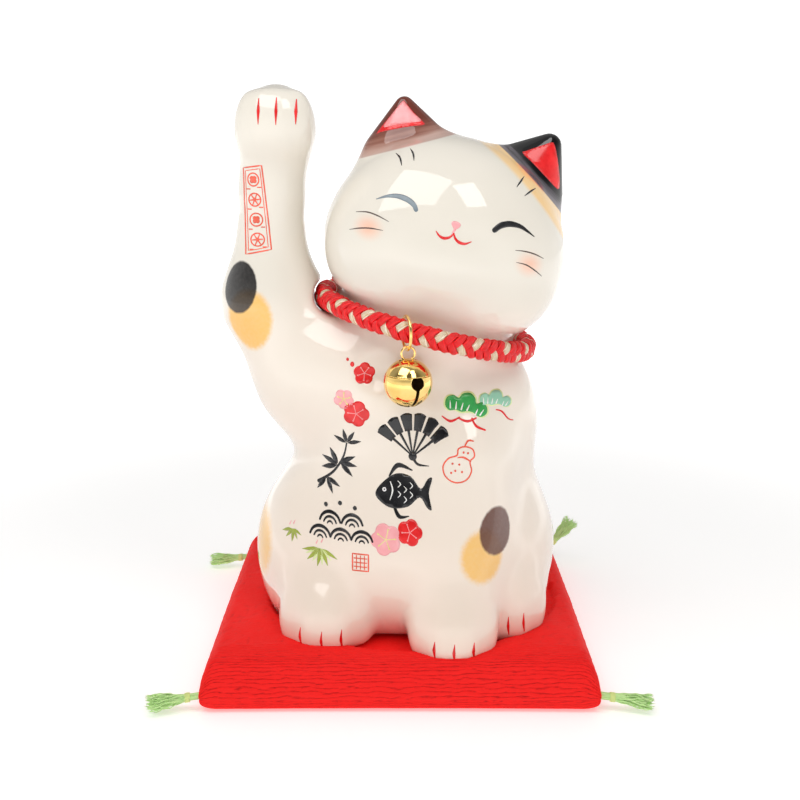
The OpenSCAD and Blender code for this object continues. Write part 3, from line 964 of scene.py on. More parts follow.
def makeMarks():
    # each mark is a thin closed skin laid on the glaze, seen from the front
    lift, layerLift, depth = 0.05, 0.035, 0.14
    for name, found in marks.items():
        if not found:
            continue
        points, faces, layers = [], [], []
        for flat, polygons, (origin, turn), layer in found:
            start = sum(len(p) for p in points)
            points.append(origin + flat[:, :1] * turn[:, 0] + flat[:, 1:] * turn[:, 2])
            layers.append(np.full(len(flat), layer))
            faces += [[v + start for v in polygon] for polygon in polygons]
        p = np.concatenate(points).astype(np.float32)
        layers = np.concatenate(layers)
        p[:, 1] = -75
        away = np.zeros(len(p), np.float32)
        for _ in range(60):
            away = catForm(p)
            p[:, 1] += np.clip(away, -0.5, None) * 0.85
        hit = np.abs(away) < 0.25
        p = settle(catForm, p, 0.2, 1)
        outward = slopeOf(catForm, p)
        outward /= np.maximum(np.linalg.norm(outward, axis=1, keepdims=True), 1e-6)
        hit &= outward[:, 1] < -0.12
        faces = [f for f in faces if hit[f].all()]
        top = p + outward * (lift + layerLift * layers)[:, None]
        under = p - outward * depth
        # turn every face outwards, then close the skin round its edge
        turned = []
        for f in faces:
            a, b, c = (top[v] for v in f[:3])
            turned.append(f if np.dot(np.cross(b - a, c - a), outward[f[0]]) > 0 else f[::-1])
        edges = {}
        for f in turned:
            for a, b in zip(f, f[1:] + f[:1]):
                edges[(a, b)] = edges.get((a, b), 0) + 1
        n = len(p)
        walls = [[b, a, a + n, b + n] for a, b in edges if (b, a) not in edges]
        below = [[v + n for v in reversed(f)] for f in turned]
        every = np.concatenate([top, under])
        used = np.unique(np.concatenate([np.array(f) for f in turned + below + walls]))
        renumber = np.full(2 * n, -1)
        renumber[used] = np.arange(len(used))
        quads = [[int(renumber[v]) for v in f] for f in turned + below + walls]
        material = makeEnamel(name, enamel[name])
        meshPiece("glazeMarks_" + name, every[used], quads, [material], "cat")
        print(name, len(quads), "faces")


faceMarks()
pawMarks()
brushOrnaments()
bodyMarks()
gourdMark()
sealMark()
armStamp()
makeMarks()
print("marks made")


# pieces wound or braided from strands

def strandTree(name, sizes, count, place, materials):
    # a node group that lays strands by a rule: place(wires) gives the x, y and z of a point on a
    # strand's skin
    # from "along" and "around", each 0 to 1, and the strand's own number; sizes become the group's inputs
    tree = bpy.data.node_groups.new(name, "GeometryNodeTree")
    for label, (kind, value) in sizes.items():
        socket = tree.interface.new_socket(label, in_out="INPUT", socket_type="NodeSocket" + kind)
        socket.default_value = value
    tree.interface.new_socket("Geometry", in_out="OUTPUT", socket_type="NodeSocketGeometry")
    given = tree.nodes.new("NodeGroupInput")
    wires = {label: Wire(tree, given.outputs[label]) for label in sizes}
    grid = addNode(tree, "GeometryNodeMeshGrid", inputs={
        "Size X": 1.0, "Size Y": 1.0, "Vertices X": wires["Steps Along"],
        "Vertices Y": wires["Steps Around"]})
    corner = addNode(tree, "ShaderNodeSeparateXYZ", inputs={
        "Vector": addNode(tree, "GeometryNodeInputPosition").outputs[0]})
    shape = grid.outputs["Mesh"]
    for label, axis in (("along", 0), ("around", 1)):
        store = addNode(tree, "GeometryNodeStoreNamedAttribute",
                        {"data_type": "FLOAT", "domain": "POINT"}, {
            "Geometry": shape, "Name": label, "Value": Wire(tree, corner.outputs[axis]) + 0.5})
        shape = store.outputs["Geometry"]
    row = addNode(tree, "GeometryNodeMeshLine", inputs={"Count": count, "Offset": (0.0, 0.0, 0.0)})
    copies = addNode(tree, "GeometryNodeInstanceOnPoints",
                     inputs={"Points": row.outputs["Mesh"], "Instance": shape})
    number = addNode(tree, "GeometryNodeStoreNamedAttribute",
                     {"data_type": "FLOAT", "domain": "INSTANCE"}, {
        "Geometry": copies.outputs[0], "Name": "strand",
        "Value": addNode(tree, "GeometryNodeInputIndex").outputs[0]})
    real = addNode(tree, "GeometryNodeRealizeInstances", inputs={"Geometry": number.outputs["Geometry"]})
    for label in ("along", "around", "strand"):
        found = addNode(tree, "GeometryNodeInputNamedAttribute", {"data_type": "FLOAT"}, {"Name": label})
        wires[label] = Wire(tree, found.outputs["Attribute"])
    x, y, z = place(tree, wires)
    moved = addNode(tree, "GeometryNodeSetPosition", inputs={
        "Geometry": real.outputs["Geometry"], "Position": joinPlace(tree, x, y, z)})
    merged = addNode(tree, "GeometryNodeMergeByDistance", inputs={
        "Geometry": moved.outputs["Geometry"], "Distance": 0.000002})
    shape = addNode(tree, "GeometryNodeSetShadeSmooth",
                    inputs={"Geometry": merged.outputs["Geometry"]}).outputs[0]
    for material, low in materials:
        chosen = wires["strand"].math("GREATER_THAN", low - 0.5)
        node = addNode(tree, "GeometryNodeSetMaterial", inputs={
            "Geometry": shape, "Material": material, "Selection": chosen})
        shape = node.outputs["Geometry"]
    tree.links.new(shape, tree.nodes.new("NodeGroupOutput").inputs[0])
    return tree


def faceOutward(mesh):
    # a closed mesh whose faces point inward is turned inside out
    points = np.zeros(len(mesh.vertices) * 3)
    mesh.vertices.foreach_get("co", points)
    points = points.reshape(-1, 3) - points.reshape(-1, 3).mean(0)
    mesh.calc_loop_triangles()
    corners = np.zeros(len(mesh.loop_triangles) * 3, np.int32)
    mesh.loop_triangles.foreach_get("vertices", corners)
    a, b, c = points[corners.reshape(-1, 3)].transpose(1, 0, 2)
    if (a * np.cross(b, c)).sum() < 0:
        mesh.flip_normals()


def openEnds(w):
    # 0 at both ends of a strand, where its skin closes to a point, and 1 between them
    return w["along"].rise(0.0, 0.002) * w["along"].rise(1.0, 0.998)


def growPiece(name, tree, sizes, turn, origin, body, replaced):
    # runs the node group, keeps its mesh, and puts that mesh in place in the frame (origin in millimetres)
    holder = bpy.data.objects.new(name + "Maker", bpy.data.meshes.new(name + "Maker"))
    bpy.context.scene.collection.objects.link(holder)
    maker = holder.modifiers.new("strands", "NODES")
    maker.node_group = tree
    for item in tree.interface.items_tree:
        if item.in_out == "INPUT" and item.name in sizes:
            maker[item.identifier] = sizes[item.name]
    bpy.context.view_layer.update()
    shown = holder.evaluated_get(bpy.context.evaluated_depsgraph_get())
    mesh = bpy.data.meshes.new_from_object(shown)
    bpy.data.objects.remove(holder)
    mesh.name = name
    place = Matrix(np.asarray(turn, float).tolist()).to_4x4()
    place.translation = Vector(origin) / 1000
    mesh.transform(place)
    faceOutward(mesh)
    piece = bpy.data.objects.new(name, mesh)
    bpy.context.scene.collection.objects.link(piece)
    print(name, len(mesh.polygons), "faces")
    return placePiece(piece, body, replaced)


def makeThread(name, colour, shadow, stripes, rough, metal=0.0, sheen=0.4):
    # twisted or laid filaments that run along the strand
    material, tree, shader = newMaterial(name, {
        "Metallic": metal, "Sheen Weight": sheen, "Sheen Roughness": 0.4, "IOR": 1.5})
    around = Wire(tree, addNode(tree, "ShaderNodeAttribute", {"attribute_name": "around"}).outputs["Fac"])
    along = Wire(tree, addNode(tree, "ShaderNodeAttribute", {"attribute_name": "along"}).outputs["Fac"])
    where, _ = objectPlace(tree)
    cloud = noise(tree, where, 900.0, 2.0)
    wave = ((around * stripes[0] + along * stripes[1]) * (2 * math.pi) + cloud * 2.5).sine() * 0.5 + 0.5
    feed(tree, shader.inputs["Base Color"],
         mixColour(tree, (wave * 0.55 + cloud * 0.45).rise(0.25, 0.8), shadow, colour))
    feed(tree, shader.inputs["Roughness"], cloud * 0.2 + rough)
    addBump(tree, shader, wave, 0.00008, 0.7)
    return material


redSilk = makeThread("redSatinCord", (1.0, 0.010, 0.014), (0.70, 0.003, 0.006), (7, 90), 0.32, 0.0, 0.0)
goldSilk = makeThread("goldThread", (0.98, 0.90, 0.74), (0.66, 0.46, 0.24), (7, 90), 0.30, 0.15, 0.0)

braid = {
    "Ring Radius": ("Float", 0.0335), "Layer Radius": ("Float", 0.00186),
    "Over And Under": ("Float", 0.00058),
    "Half Width": ("Float", 0.00108), "Half Depth": ("Float", 0.00064), "Core": ("Float", 0.00140),
    "Turns": ("Float", 19.0), "Start Turn": ("Float", 0.785), "Shift": ("Float", 3.1416),
    "Tallness": ("Float", 1.14), "Steps Along": ("Int", 457), "Steps Around": ("Int", 13),
}


def braidPlace(tree, w):
    # strands 0 to 3 wind one way and 4 to 7 the other, each over two and under two; 8 is the core
    way = w["strand"].math("GREATER_THAN", 3.5) * -2.0 + 1.0
    core = w["strand"].math("GREATER_THAN", 7.5)
    wide = w["Half Width"] + (w["Core"] - w["Half Width"]) * core
    deep = w["Half Depth"] + (w["Core"] - w["Half Depth"]) * core
    ring = w["along"] * (2 * math.pi)
    phase = w["strand"] * (math.pi / 2) + math.pi / 8
    turn = (ring * w["Turns"] + w["Shift"]) * way + phase
    wave = ((turn - w["Start Turn"]) * 2.0).cosine()
    # the gold strands dip sooner, so that they show as short stitches
    gold = w["strand"].math("LESS_THAN", 0.5)
    gold = gold + w["strand"].math("GREATER_THAN", 5.5) * w["strand"].math("LESS_THAN", 6.5)
    rise = wave * (1.5 - wave * wave * 0.5) * way - gold * 0.42
    layer = (w["Layer Radius"] + w["Over And Under"] * rise) * (1.0 - core) + 0.000001
    out = (w["around"] * (2 * math.pi)).cosine() * deep
    side = (w["around"] * (2 * math.pi)).sine() * wide
    # the strand's direction on the braid: ahead along the ring, about around the braid
    about = layer * w["Turns"] * way
    length = (about * about + w["Ring Radius"] * w["Ring Radius"]).power(0.5)
    ahead = side * about / length * -1.0
    about = side * w["Ring Radius"] / length
    radial = (layer + out) * turn.cosine() - about * turn.sine()
    rise = (layer + out) * turn.sine() + about * turn.cosine()
    outer = w["Ring Radius"] + radial
    return (outer * ring.cosine() - ahead * ring.sine(), outer * ring.sine() + ahead * ring.cosine(),
            rise * w["Tallness"])


def makeCollar():
    tree = strandTree("braidedCord", braid, 9, braidPlace, [(redSilk, 0), (goldSilk, 6), (redSilk, 7)])
    # strand 0 carries the gold of the other direction
    node = addNode(tree, "GeometryNodeSetMaterial", inputs={"Material": goldSilk})
    found = addNode(tree, "GeometryNodeInputNamedAttribute", {"data_type": "FLOAT"}, {"Name": "strand"})
    feed(tree, node.inputs["Selection"], Wire(tree, found.outputs["Attribute"]).math("LESS_THAN", 0.5))
    output = next(n for n in tree.nodes if n.type == "GROUP_OUTPUT")
    tree.links.new(output.inputs[0].links[0].from_socket, node.inputs["Geometry"])
    tree.links.new(node.outputs["Geometry"], output.inputs[0])
    growPiece("collarBraid", tree, {}, collarTurn, collarAt, "collar", ["collar_braid"])
    low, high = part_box("collar_end_wrap")
    middle = (np.array(low) + np.array(high)) * 500
    local = (middle - collarAt) @ collarTurn
    angle = math.atan2(local[1], local[0])
    sizes = {"Ring Radius": ("Float", 0.0335), "Coil Radius": ("Float", 0.00335),
             "Thread": ("Float", 0.00032),
             "Turns": ("Float", 13.0), "Span": ("Float", 0.24), "Middle": ("Float", angle),
             "Steps Along": ("Int", 313), "Steps Around": ("Int", 9)}

    def wrapPlace(tree, w):
        ring = (w["along"] - 0.5) * w["Span"] + w["Middle"]
        turn = w["along"] * w["Turns"] * (2 * math.pi)
        thread = w["Thread"] * openEnds(w)
        out = w["Coil Radius"] + thread * (w["around"] * (2 * math.pi)).cosine()
        ahead = thread * (w["around"] * (2 * math.pi)).sine()
        outer = w["Ring Radius"] + out * turn.cosine()
        return (outer * ring.cosine() - ahead * ring.sine(), outer * ring.sine() + ahead * ring.cosine(),
                out * turn.sine())

    wrapTree = strandTree("whipping", sizes, 1, wrapPlace, [(redSilk, 0)])
    growPiece("collarEndWrap", wrapTree, {}, collarTurn, collarAt, "collar", ["collar_end_wrap"])


makeCollar()
print("collar made")


# jump ring, loop and bell

def makeBrass(name, colour, rough, scratch):
    material, tree, shader = newMaterial(name, {"Metallic": 1.0, "IOR": 1.5, "Coat Weight": 0.25,
                                                "Coat Roughness": 0.05})
    where, _ = objectPlace(tree)
    cloud = noise(tree, where, 240.0, 3.0)
    fine = noise(tree, where, 2600.0, 2.0)
    deep = tuple(c * f for c, f in zip(colour, (0.93, 0.86, 0.7)))
    feed(tree, shader.inputs["Base Color"], mixColour(tree, cloud.rise(0.35, 0.75), colour, deep))
    feed(tree, shader.inputs["Roughness"], cloud * 0.05 + fine * 0.03 + rough)
    addBump(tree, shader, cloud * 0.5 + fine * 0.2, scratch, 0.35)
    return material


gilt = makeBrass("polishedGilt", (0.98, 0.72, 0.26), 0.035, 0.00004)
# a dark brass for the bell's inside: unpolished, and darkened further as painted shade
dullBrassPaintedShade = makeBrass("unpolishedBrassPaintedShade", (0.16, 0.095, 0.035), 0.55, 0.0001)
wireGilt = makeBrass("gildedWire", (0.97, 0.70, 0.27), 0.12, 0.00006)

ring = {"radius": 4.95, "wire": 0.46, "cutAngle": 2.2, "cut": 0.012}
loopWire = {"radius": 2.0, "wire": 0.34}
bell = {
    "radius": 7.2, "wall": 0.45, "seamAbove": 2.6, "slotHalf": 0.48, "eyeRadius": 1.95, "eyeAt": 1.0,
    "slotTurn": 24, "crownHole": 0.75, "meshStep": 0.19,
}


def wireRing(name, centre, axes, radius, wire, body, replaced, gap=0.0, gapAt=0.0, stretch=1.0):
    # a ring of round wire; with a gap its two ends are rounded off
    count, sides = 96, 14
    closed = gap == 0
    u, v, n = (np.array(a, float) for a in axes)
    points, faces = [], []
    turns = np.linspace(gap, 2 * math.pi - gap, count, endpoint=not closed) + gapAt
    for k, t in enumerate(turns):
        thin = 1.0
        if not closed and k in (0, count - 1):
            thin = 0.72
        out = u * math.cos(t) + v * math.sin(t)
        middle = np.array(centre) + radius * (u * math.cos(t) + v * math.sin(t) * stretch)
        for s in range(sides):
            a = 2 * math.pi * s / sides
            points.append(middle + wire * thin * (out * math.cos(a) + n * math.sin(a)))
    for k in range(count if closed else count - 1):
        for s in range(sides):
            a, b = k * sides + s, k * sides + (s + 1) % sides
            c, d = (k + 1) % count * sides + (s + 1) % sides, (k + 1) % count * sides + s
            faces.append([a, d, c, b])
    if not closed:
        faces.append([s for s in range(sides)])
        faces.append([(count - 1) * sides + s for s in reversed(range(sides))])
    piece = meshPiece(name, points, faces, [wireGilt], body, replaced)
    faceOutward(piece.data)
    return piece


def makeBell():
    low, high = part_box("jump_ring")
    ringAt = (np.array(low) + np.array(high)) * 500
    yaw = math.radians(14.5)
    forward = (math.sin(yaw), -math.cos(yaw), 0)
    across = (math.cos(yaw), math.sin(yaw), 0)
    wireRing("jumpRing", ringAt, (forward, (0, 0, 1), across), ring["radius"], ring["wire"], "ring",
             ["jump_ring"], ring["cut"], ring["cutAngle"])
    low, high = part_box("bell_loop")
    loopAt = (np.array(low) + np.array(high)) * 500
    wireRing("bellLoop", loopAt, (across, (0, 0, 1), forward), loopWire["radius"], loopWire["wire"],
             "bell",
             ["bell_loop"])
    low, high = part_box("bell_lower_shell")
    centre = np.array([(low[0] + high[0]) * 500, (low[1] + high[1]) * 500, low[2] * 1000 + bell["radius"]])
    c, s = math.cos(math.radians(bell["slotTurn"])), math.sin(math.radians(bell["slotTurn"]))
    along = np.array([s, -c, 0], np.float32)
    side = np.array([c, s, 0], np.float32)

    def wallForm(q):
        away = np.linalg.norm(q, axis=-1)
        # a raised band where the two halves are pressed together
        band = np.exp(-((q[..., 2] - bell["seamAbove"]) / 0.35) ** 2) * 0.07
        return np.abs(away - bell["radius"] + bell["wall"] / 2 - band / 2) - bell["wall"] / 2 - band / 2

    def lowerForm(p):
        q = p - centre.astype(np.float32)
        d = wallForm(q)
        f, g = q @ along, q @ side
        # the slit runs under the bell from one round eye to the other
        slit = np.maximum(np.abs(g) - bell["slotHalf"], q[..., 2] - bell["eyeAt"])
        eye = np.linalg.norm(np.stack([g, q[..., 2] - bell["eyeAt"]], -1), axis=-1) - bell["eyeRadius"]
        cut = softMin(slit, eye, 0.5)
        cut = np.maximum(cut, -np.abs(f) - 100)
        return softMax(softMax(d, -cut, 0.14), q[..., 2] - bell["seamAbove"] + 0.02, 0.10)

    def upperForm(p):
        q = p - centre.astype(np.float32)
        d = wallForm(q)
        for sx in (-1, 1):
            hole = np.linalg.norm((q - sx * 2.0 * np.array(across, np.float32))[..., :2], axis=-1)
            d = softMax(d, bell["crownHole"] - hole, 0.1)
        return softMax(d, bell["seamAbove"] + 0.02 - q[..., 2], 0.10)

    reach = bell["radius"] + 0.8
    for name, form, node in (("bellLowerShell", lowerForm, "bell_lower_shell"),
                             ("bellUpperShell", upperForm, "bell_upper_shell")):
        bottom, top = (-reach, bell["seamAbove"] + 0.4) if node == "bell_lower_shell" else (1.6, reach)
        points, faces = netSurface(form, centre + (-reach, -reach, bottom), centre + (reach, reach, top),
                                   bell["meshStep"], 8)
        piece = meshPiece(name, points, faces, [gilt, dullBrassPaintedShade], "bell", [node])
        # the inside is unpolished brass, its colour darkened to paint the shade inside the hollow bell
        away = np.linalg.norm(points[faces].mean(1) - centre, axis=-1)
        piece.data.polygons.foreach_set("material_index",
                                        (away < bell["radius"] - bell["wall"] * 0.55).astype(np.int32))
        print(name, len(faces) * 2, "triangles")


makeBell()
print("bell made")


# cushion

cushion = {
    "wide": 118, "long": 115.4, "top": 12.4, "crest": 1.9, "seam": 3.4, "rollWide": 5.6, "flatShare": 0.80,
    "coarse": 40, "alongX": 116, "alongY": (100, 146), "scale": 4.0, "pressure": 4.0, "frames": 20,
    "cap": 2.4,
    "pullIn": (-1.0, 0.6), "ridgeEvery": 1.12, "ridgeHigh": 0.40,
}


def cushionSkin(u, v, upper):
    # the sewn cover as cut and filled: u and v run from -1 to 1 across a panel; millimetres
    flat, wide = cushion["flatShare"], cushion["rollWide"]

    def roll(p, half):
        q = np.abs(p)
        beta = np.clip((q - flat) / (1 - flat), 0, 1) * math.pi / 2
        reach = np.where(q < flat, q / flat * (half - wide), half - wide + wide * np.sin(beta))
        return np.sign(p) * reach, np.cos(beta)

    x, fallX = roll(u, cushion["wide"] / 2)
    y, fallY = roll(v, cushion["long"] / 2)
    edge = np.maximum(np.abs(u), np.abs(v))
    corner = (np.abs(u) * np.abs(v)) ** 6
    seam = cushion["seam"] + 1.2 * corner
    if upper:
        high = cushion["top"] + cushion["crest"] * np.clip((edge - 0.45) / 0.4, 0, 1) ** 2
        z = seam + (high - seam) * fallX * fallY
    else:
        z = seam * (1 - (fallX * fallY) ** 0.6)
    x = x - np.sign(u) * np.abs(u) ** 3 * (1 - v ** 2) * cushion["pullIn"][0]
    y = y - np.sign(v) * np.abs(v) ** 3 * (1 - u ** 2) * cushion["pullIn"][1]
    return np.stack([x, y, z], -1)


def panelNumbers(nx, ny):
    # point numbers of the two panels, which share the points of the seam
    top = np.arange((nx + 1) * (ny + 1)).reshape(nx + 1, ny + 1)
    under = top.copy()
    inner = under[1:-1, 1:-1]
    under[1:-1, 1:-1] = top.size + np.arange(inner.size).reshape(inner.shape)
    return top, under


def panelFaces(top, under):
    a, b, c, d = top[:-1, :-1], top[1:, :-1], top[1:, 1:], top[:-1, 1:]
    upper = np.stack([a, b, c, d], -1).reshape(-1, 4)
    a, b, c, d = under[:-1, :-1], under[1:, :-1], under[1:, 1:], under[:-1, 1:]
    return np.concatenate([upper, np.stack([d, c, b, a], -1).reshape(-1, 4)])


def panelGrid(nx, ny):
    return np.meshgrid(np.linspace(-1, 1, nx + 1), np.linspace(-1, 1, ny + 1), indexing="ij")


def swellCover():
    # the coarse cover is filled by a cloth simulation; what moves is how far each point went
    n, scale = cushion["coarse"], cushion["scale"]
    u, v = panelGrid(n, n)
    top, under = panelNumbers(n, n)
    start = np.zeros((under.max() + 1, 3))
    start[under] = cushionSkin(u, v, False)
    start[top] = cushionSkin(u, v, True)
    mesh = bpy.data.meshes.new("coverCut")
    mesh.from_pydata((start * scale / 1000).tolist(), [], panelFaces(top, under).tolist())
    cover = bpy.data.objects.new("coverCut", mesh)
    bpy.context.scene.collection.objects.link(cover)
    cloth = cover.modifiers.new("filling", "CLOTH")
    settings = cloth.settings
    settings.quality = 6
    settings.mass = 0.25
    settings.tension_stiffness = settings.compression_stiffness = 12
    settings.shear_stiffness = 6
    settings.bending_stiffness = 0.4
    settings.use_pressure = True
    settings.uniform_pressure_force = cushion["pressure"]
    settings.effector_weights.gravity = 0
    cloth.point_cache.frame_start, cloth.point_cache.frame_end = 1, cushion["frames"]
    scene = bpy.context.scene
    for number in range(1, cushion["frames"] + 1):
        scene.frame_set(number)
    shown = cover.evaluated_get(bpy.context.evaluated_depsgraph_get())
    end = np.zeros(len(start) * 3, np.float32)
    shown.data.vertices.foreach_get("co", end)
    moved = end.reshape(-1, 3) * 1000 / scale - start
    bpy.data.objects.remove(cover)
    scene.frame_set(1)
    far = np.linalg.norm(moved, axis=-1, keepdims=True)
    moved = moved * np.minimum(1, cushion["cap"] / np.maximum(far, 1e-6)) * (0.35, 0.35, 1)
    print("cover filled, moved up to", round(float(far.max()), 2), "mm")
    return moved[top], moved[under]


def spread(coarse, u, v):
    # reads the coarse grid at the fine grid's places, then smooths away the cells
    n = len(coarse) - 1
    a, b = (u + 1) / 2 * n, (v + 1) / 2 * n
    i, j = np.clip(a.astype(int), 0, n - 1), np.clip(b.astype(int), 0, n - 1)
    s, t = (a - i)[..., None], (b - j)[..., None]
    return (coarse[i, j] * (1 - s) * (1 - t) + coarse[i + 1, j] * s * (1 - t)
            + coarse[i, j + 1] * (1 - s) * t + coarse[i + 1, j + 1] * s * t)


def softNoise(shape, cells, seed):
    # smooth noise from -1 to 1 on a grid
    made = np.random.default_rng(seed).uniform(-1, 1, (cells[0] + 3, cells[1] + 3))
    a = np.linspace(0, cells[0], shape[0])[:, None] + np.zeros(shape)
    b = np.linspace(0, cells[1], shape[1])[None, :] + np.zeros(shape)
    i, j = a.astype(int), b.astype(int)
    s, t = a - i, b - j
    s, t = s * s * (3 - 2 * s), t * t * (3 - 2 * t)
    return (made[i, j] * (1 - s) * (1 - t) + made[i + 1, j] * s * (1 - t)
            + made[i, j + 1] * (1 - s) * t + made[i + 1, j + 1] * s * t)


def makeCrepe():
    # crepe: wavy ridges with a fine crimped grain; the colour is darker in the valleys between the ridges
    # as painted shade
    material, tree, shader = newMaterial("redCrepe",
                                         {"Sheen Weight": 0.04, "Sheen Roughness": 0.5, "IOR": 1.33,
                                                      "Sheen Tint": (1.0, 0.25, 0.2, 1.0)})
    where, _ = objectPlace(tree)
    ridge = Wire(tree, addNode(tree, "ShaderNodeAttribute", {"attribute_name": "ridge"}).outputs["Fac"])
    stretched = addNode(tree, "ShaderNodeMapping",
                        inputs={"Vector": where, "Scale": (0.5, 1.0, 1.0)}).outputs[0]
    grain = noise(tree, stretched, 2400.0, 3.0, 0.6) * 0.5 + noise(tree, stretched, 1100.0, 2.0) * 0.5
    cloud = noise(tree, where, 60.0, 2.0)
    # painted shade: the colour darkens in the valleys between the ridges, mixed with the fabric's own grain
    tone = (ridge * 0.8 + grain * 0.7).rise(0.26, 0.86)
    colour = mixColour(tree, tone, (0.50, 0.001, 0.002), (1.0, 0.012, 0.010))
    colour = mixColour(tree, cloud.rise(0.4, 0.8) * 0.2, colour, (0.96, 0.008, 0.008))
    feed(tree, shader.inputs["Base Color"], colour)
    feed(tree, shader.inputs["Roughness"], grain * 0.2 + 0.62)
    addBump(tree, shader, grain, 0.00034, 0.9)
    return material


def makeCushion():
    # the rows lie closer on the rolled edges, where the ridges stand out
    nx, (flatRows, rollRows), bend = cushion["alongX"], cushion["alongY"], 0.68
    rows = np.concatenate([np.linspace(-1, -bend, rollRows, endpoint=False),
                           np.linspace(-bend, bend, flatRows, endpoint=False),
                           np.linspace(bend, 1, rollRows + 1)])
    u, v = np.meshgrid(np.linspace(-1, 1, nx + 1), rows, indexing="ij")
    top, under = panelNumbers(nx, len(rows) - 1)
    movedTop, movedUnder = swellCover()
    points = np.zeros((under.max() + 1, 3))
    ridges = np.zeros(len(points), np.float32)
    length = cushion["long"] / 2 / cushion["flatShare"] * 0.93
    wave = softNoise(u.shape, (20, 26), 3) * 0.45 + softNoise(u.shape, (56, 80), 4) * 0.42
    strength = 0.85 + 0.15 * softNoise(u.shape, (24, 120), 5)
    onRoll = np.clip((np.abs(v) - bend - 0.01) / 0.12, 0, 1)
    phase = 2 * math.pi * (v * length / cushion["ridgeEvery"] + wave * (1.5 - 0.75 * onRoll))
    # broad tops and narrow valleys, which fade into grain on the flat
    wavy = np.abs(np.sin(phase / 2)) ** 0.65 * strength * onRoll + 0.70 * (1 - onRoll)
    wavy = wavy + (0.12 + 0.20 * (1 - onRoll)) * softNoise(u.shape, (115, 190), 6)
    footprint = np.hypot(u * 64 - 4, v * 64 - 0)
    held = np.clip((footprint - 38) / 12, 0, 1)[..., None]
    for number, coarse, upper in ((under, movedUnder, False), (top, movedTop, True)):
        skin = cushionSkin(u, v, upper)
        skin += spread(coarse, u, v) * (held if upper
                                        else np.clip(np.maximum(abs(u), abs(v)) * 5 - 4, 0, 1)[..., None])
        across = np.gradient(skin, axis=0)
        along = np.gradient(skin, axis=1)
        normal = np.cross(across, along) * (1 if upper else -1)
        normal /= np.maximum(np.linalg.norm(normal, axis=-1, keepdims=True), 1e-9)
        seamFade = np.clip((1 - np.maximum(abs(u), abs(v))) * 60, 0, 1)
        high = cushion["ridgeHigh"] * (1.0 if upper else 0.35) * seamFade
        # flat where it is pressed
        high = high * (0.35 + 0.65 * held[..., 0]) if upper else high
        skin += normal * (wavy * high)[..., None]
        if upper:
            low = (footprint < 46) & (skin[..., 2] > cat["base"] - 0.12)
            skin[..., 2] = np.where(low, cat["base"] - 0.12, skin[..., 2])
        skin[..., 2] = np.maximum(skin[..., 2], 0.02)
        points[number] = skin
        ridges[number] = wavy
    piece = meshPiece("cushionCover", points, panelFaces(top, under), [makeCrepe()], "cushion",
                      ["cushion_top_panel", "cushion_bottom_panel"])
    # the ridge height goes to the crepe material, which paints the valleys darker as shade
    piece.data.attributes.new("ridge", "FLOAT", "POINT").data.foreach_set("value", ridges)
    # the wadding fills the cover a little inside it
    n = cushion["coarse"]
    u, v = panelGrid(n, n)
    top, under = panelNumbers(n, n)
    points = np.zeros((under.max() + 1, 3))
    for number, upper in ((under, False), (top, True)):
        skin = cushionSkin(u, v, upper) * (0.93, 0.93, 1)
        puff = softNoise(u.shape, (9, 9), 11) * 0.25
        skin[..., 2] = skin[..., 2] * 0.76 + 1.0 + (puff if upper else -puff * 0.4)
        points[number] = skin
    material, tree, shader = newMaterial("whiteWadding", {"Sheen Weight": 0.3})
    where, _ = objectPlace(tree)
    fluff = noise(tree, where, 700.0, 4.0, 0.7)
    feed(tree, shader.inputs["Base Color"], mixColour(tree, fluff, (0.74, 0.72, 0.68), (0.92, 0.91, 0.89)))
    feed(tree, shader.inputs["Roughness"], fluff * 0.1 + 0.85)
    addBump(tree, shader, fluff, 0.0005, 0.8)
    meshPiece("cushionWadding", points, panelFaces(top, under), [material], "cushion",
              ["cushion_wadding"])


makeCushion()
print("cushion made")


# tassels

tassel = {
    "Length": ("Float", 0.0150), "Neck": ("Float", 0.00100), "End": ("Float", 0.0028),
    "Thread": ("Float", 0.00017),
    "Kink": ("Float", 0.00045), "Flatness": ("Float", 0.75), "Seed": ("Int", 3),
    "Steps Along": ("Int", 23), "Steps Around": ("Int", 5),
}
tasselSets = {  # corner signs, how far it rises and sweeps in degrees, its own sizes
    "front_left": (-1, -1, -7, -6, {"Seed": 3, "Flatness": 0.78, "End": 0.0032}),
    "front_right": (1, -1, -7, -4, {"Seed": 8, "Flatness": 0.62}),
    "back_left": (-1, 1, -7, 4, {"Seed": 13}),
    "back_right": (1, 1, 38, 30, {"Seed": 21, "End": 0.0030}),
}
tasselRoot = {"corner": 54.6, "height": 5.0, "reach": 4.0}


def chance(tree, low, high, number, seed):
    node = addNode(tree, "FunctionNodeRandomValue", {"data_type": "FLOAT"})
    for place, value in ((2, low), (3, high), (7, number), (8, seed)):
        feed(tree, node.inputs[place], value)
    return Wire(tree, node.outputs[1])


def tasselPlace(tree, w):
    number = w["strand"]

    def pick(low, high, turn):
        return chance(tree, low, high, number, w["Seed"] + float(turn * 37))

    # from the knot at the corner, through the tie, out to the loose ends
    t = w["along"]
    x = t * (w["Length"] * pick(0.84, 1.08, 1) + 0.0026) - 0.0026
    opened = x.rise(0.0026, 0.0150)
    knot = x.rise(-0.0026, 0.0)
    share = pick(0.0, 1.0, 2).power(0.5)
    angle = pick(0.0, 2 * math.pi, 3)
    radius = share * (w["Neck"] * (knot * 0.72 + 0.28) + (w["End"] - w["Neck"]) * opened)
    sway = w["Kink"] * x.rise(0.002, 0.010)
    first = (t * pick(9.0, 22.0, 4) + pick(0.0, 6.3, 5)).sine() * sway
    second = (t * pick(9.0, 22.0, 6) + pick(0.0, 6.3, 7)).sine() * sway
    turn = w["around"] * (2 * math.pi)
    thread = w["Thread"] * openEnds(w)
    y = radius * angle.cosine() + first + thread * turn.cosine()
    z = radius * angle.sine() * (1.0 - opened * (1.0 - w["Flatness"])) + second * 0.8 + thread * turn.sine()
    return x, y, z


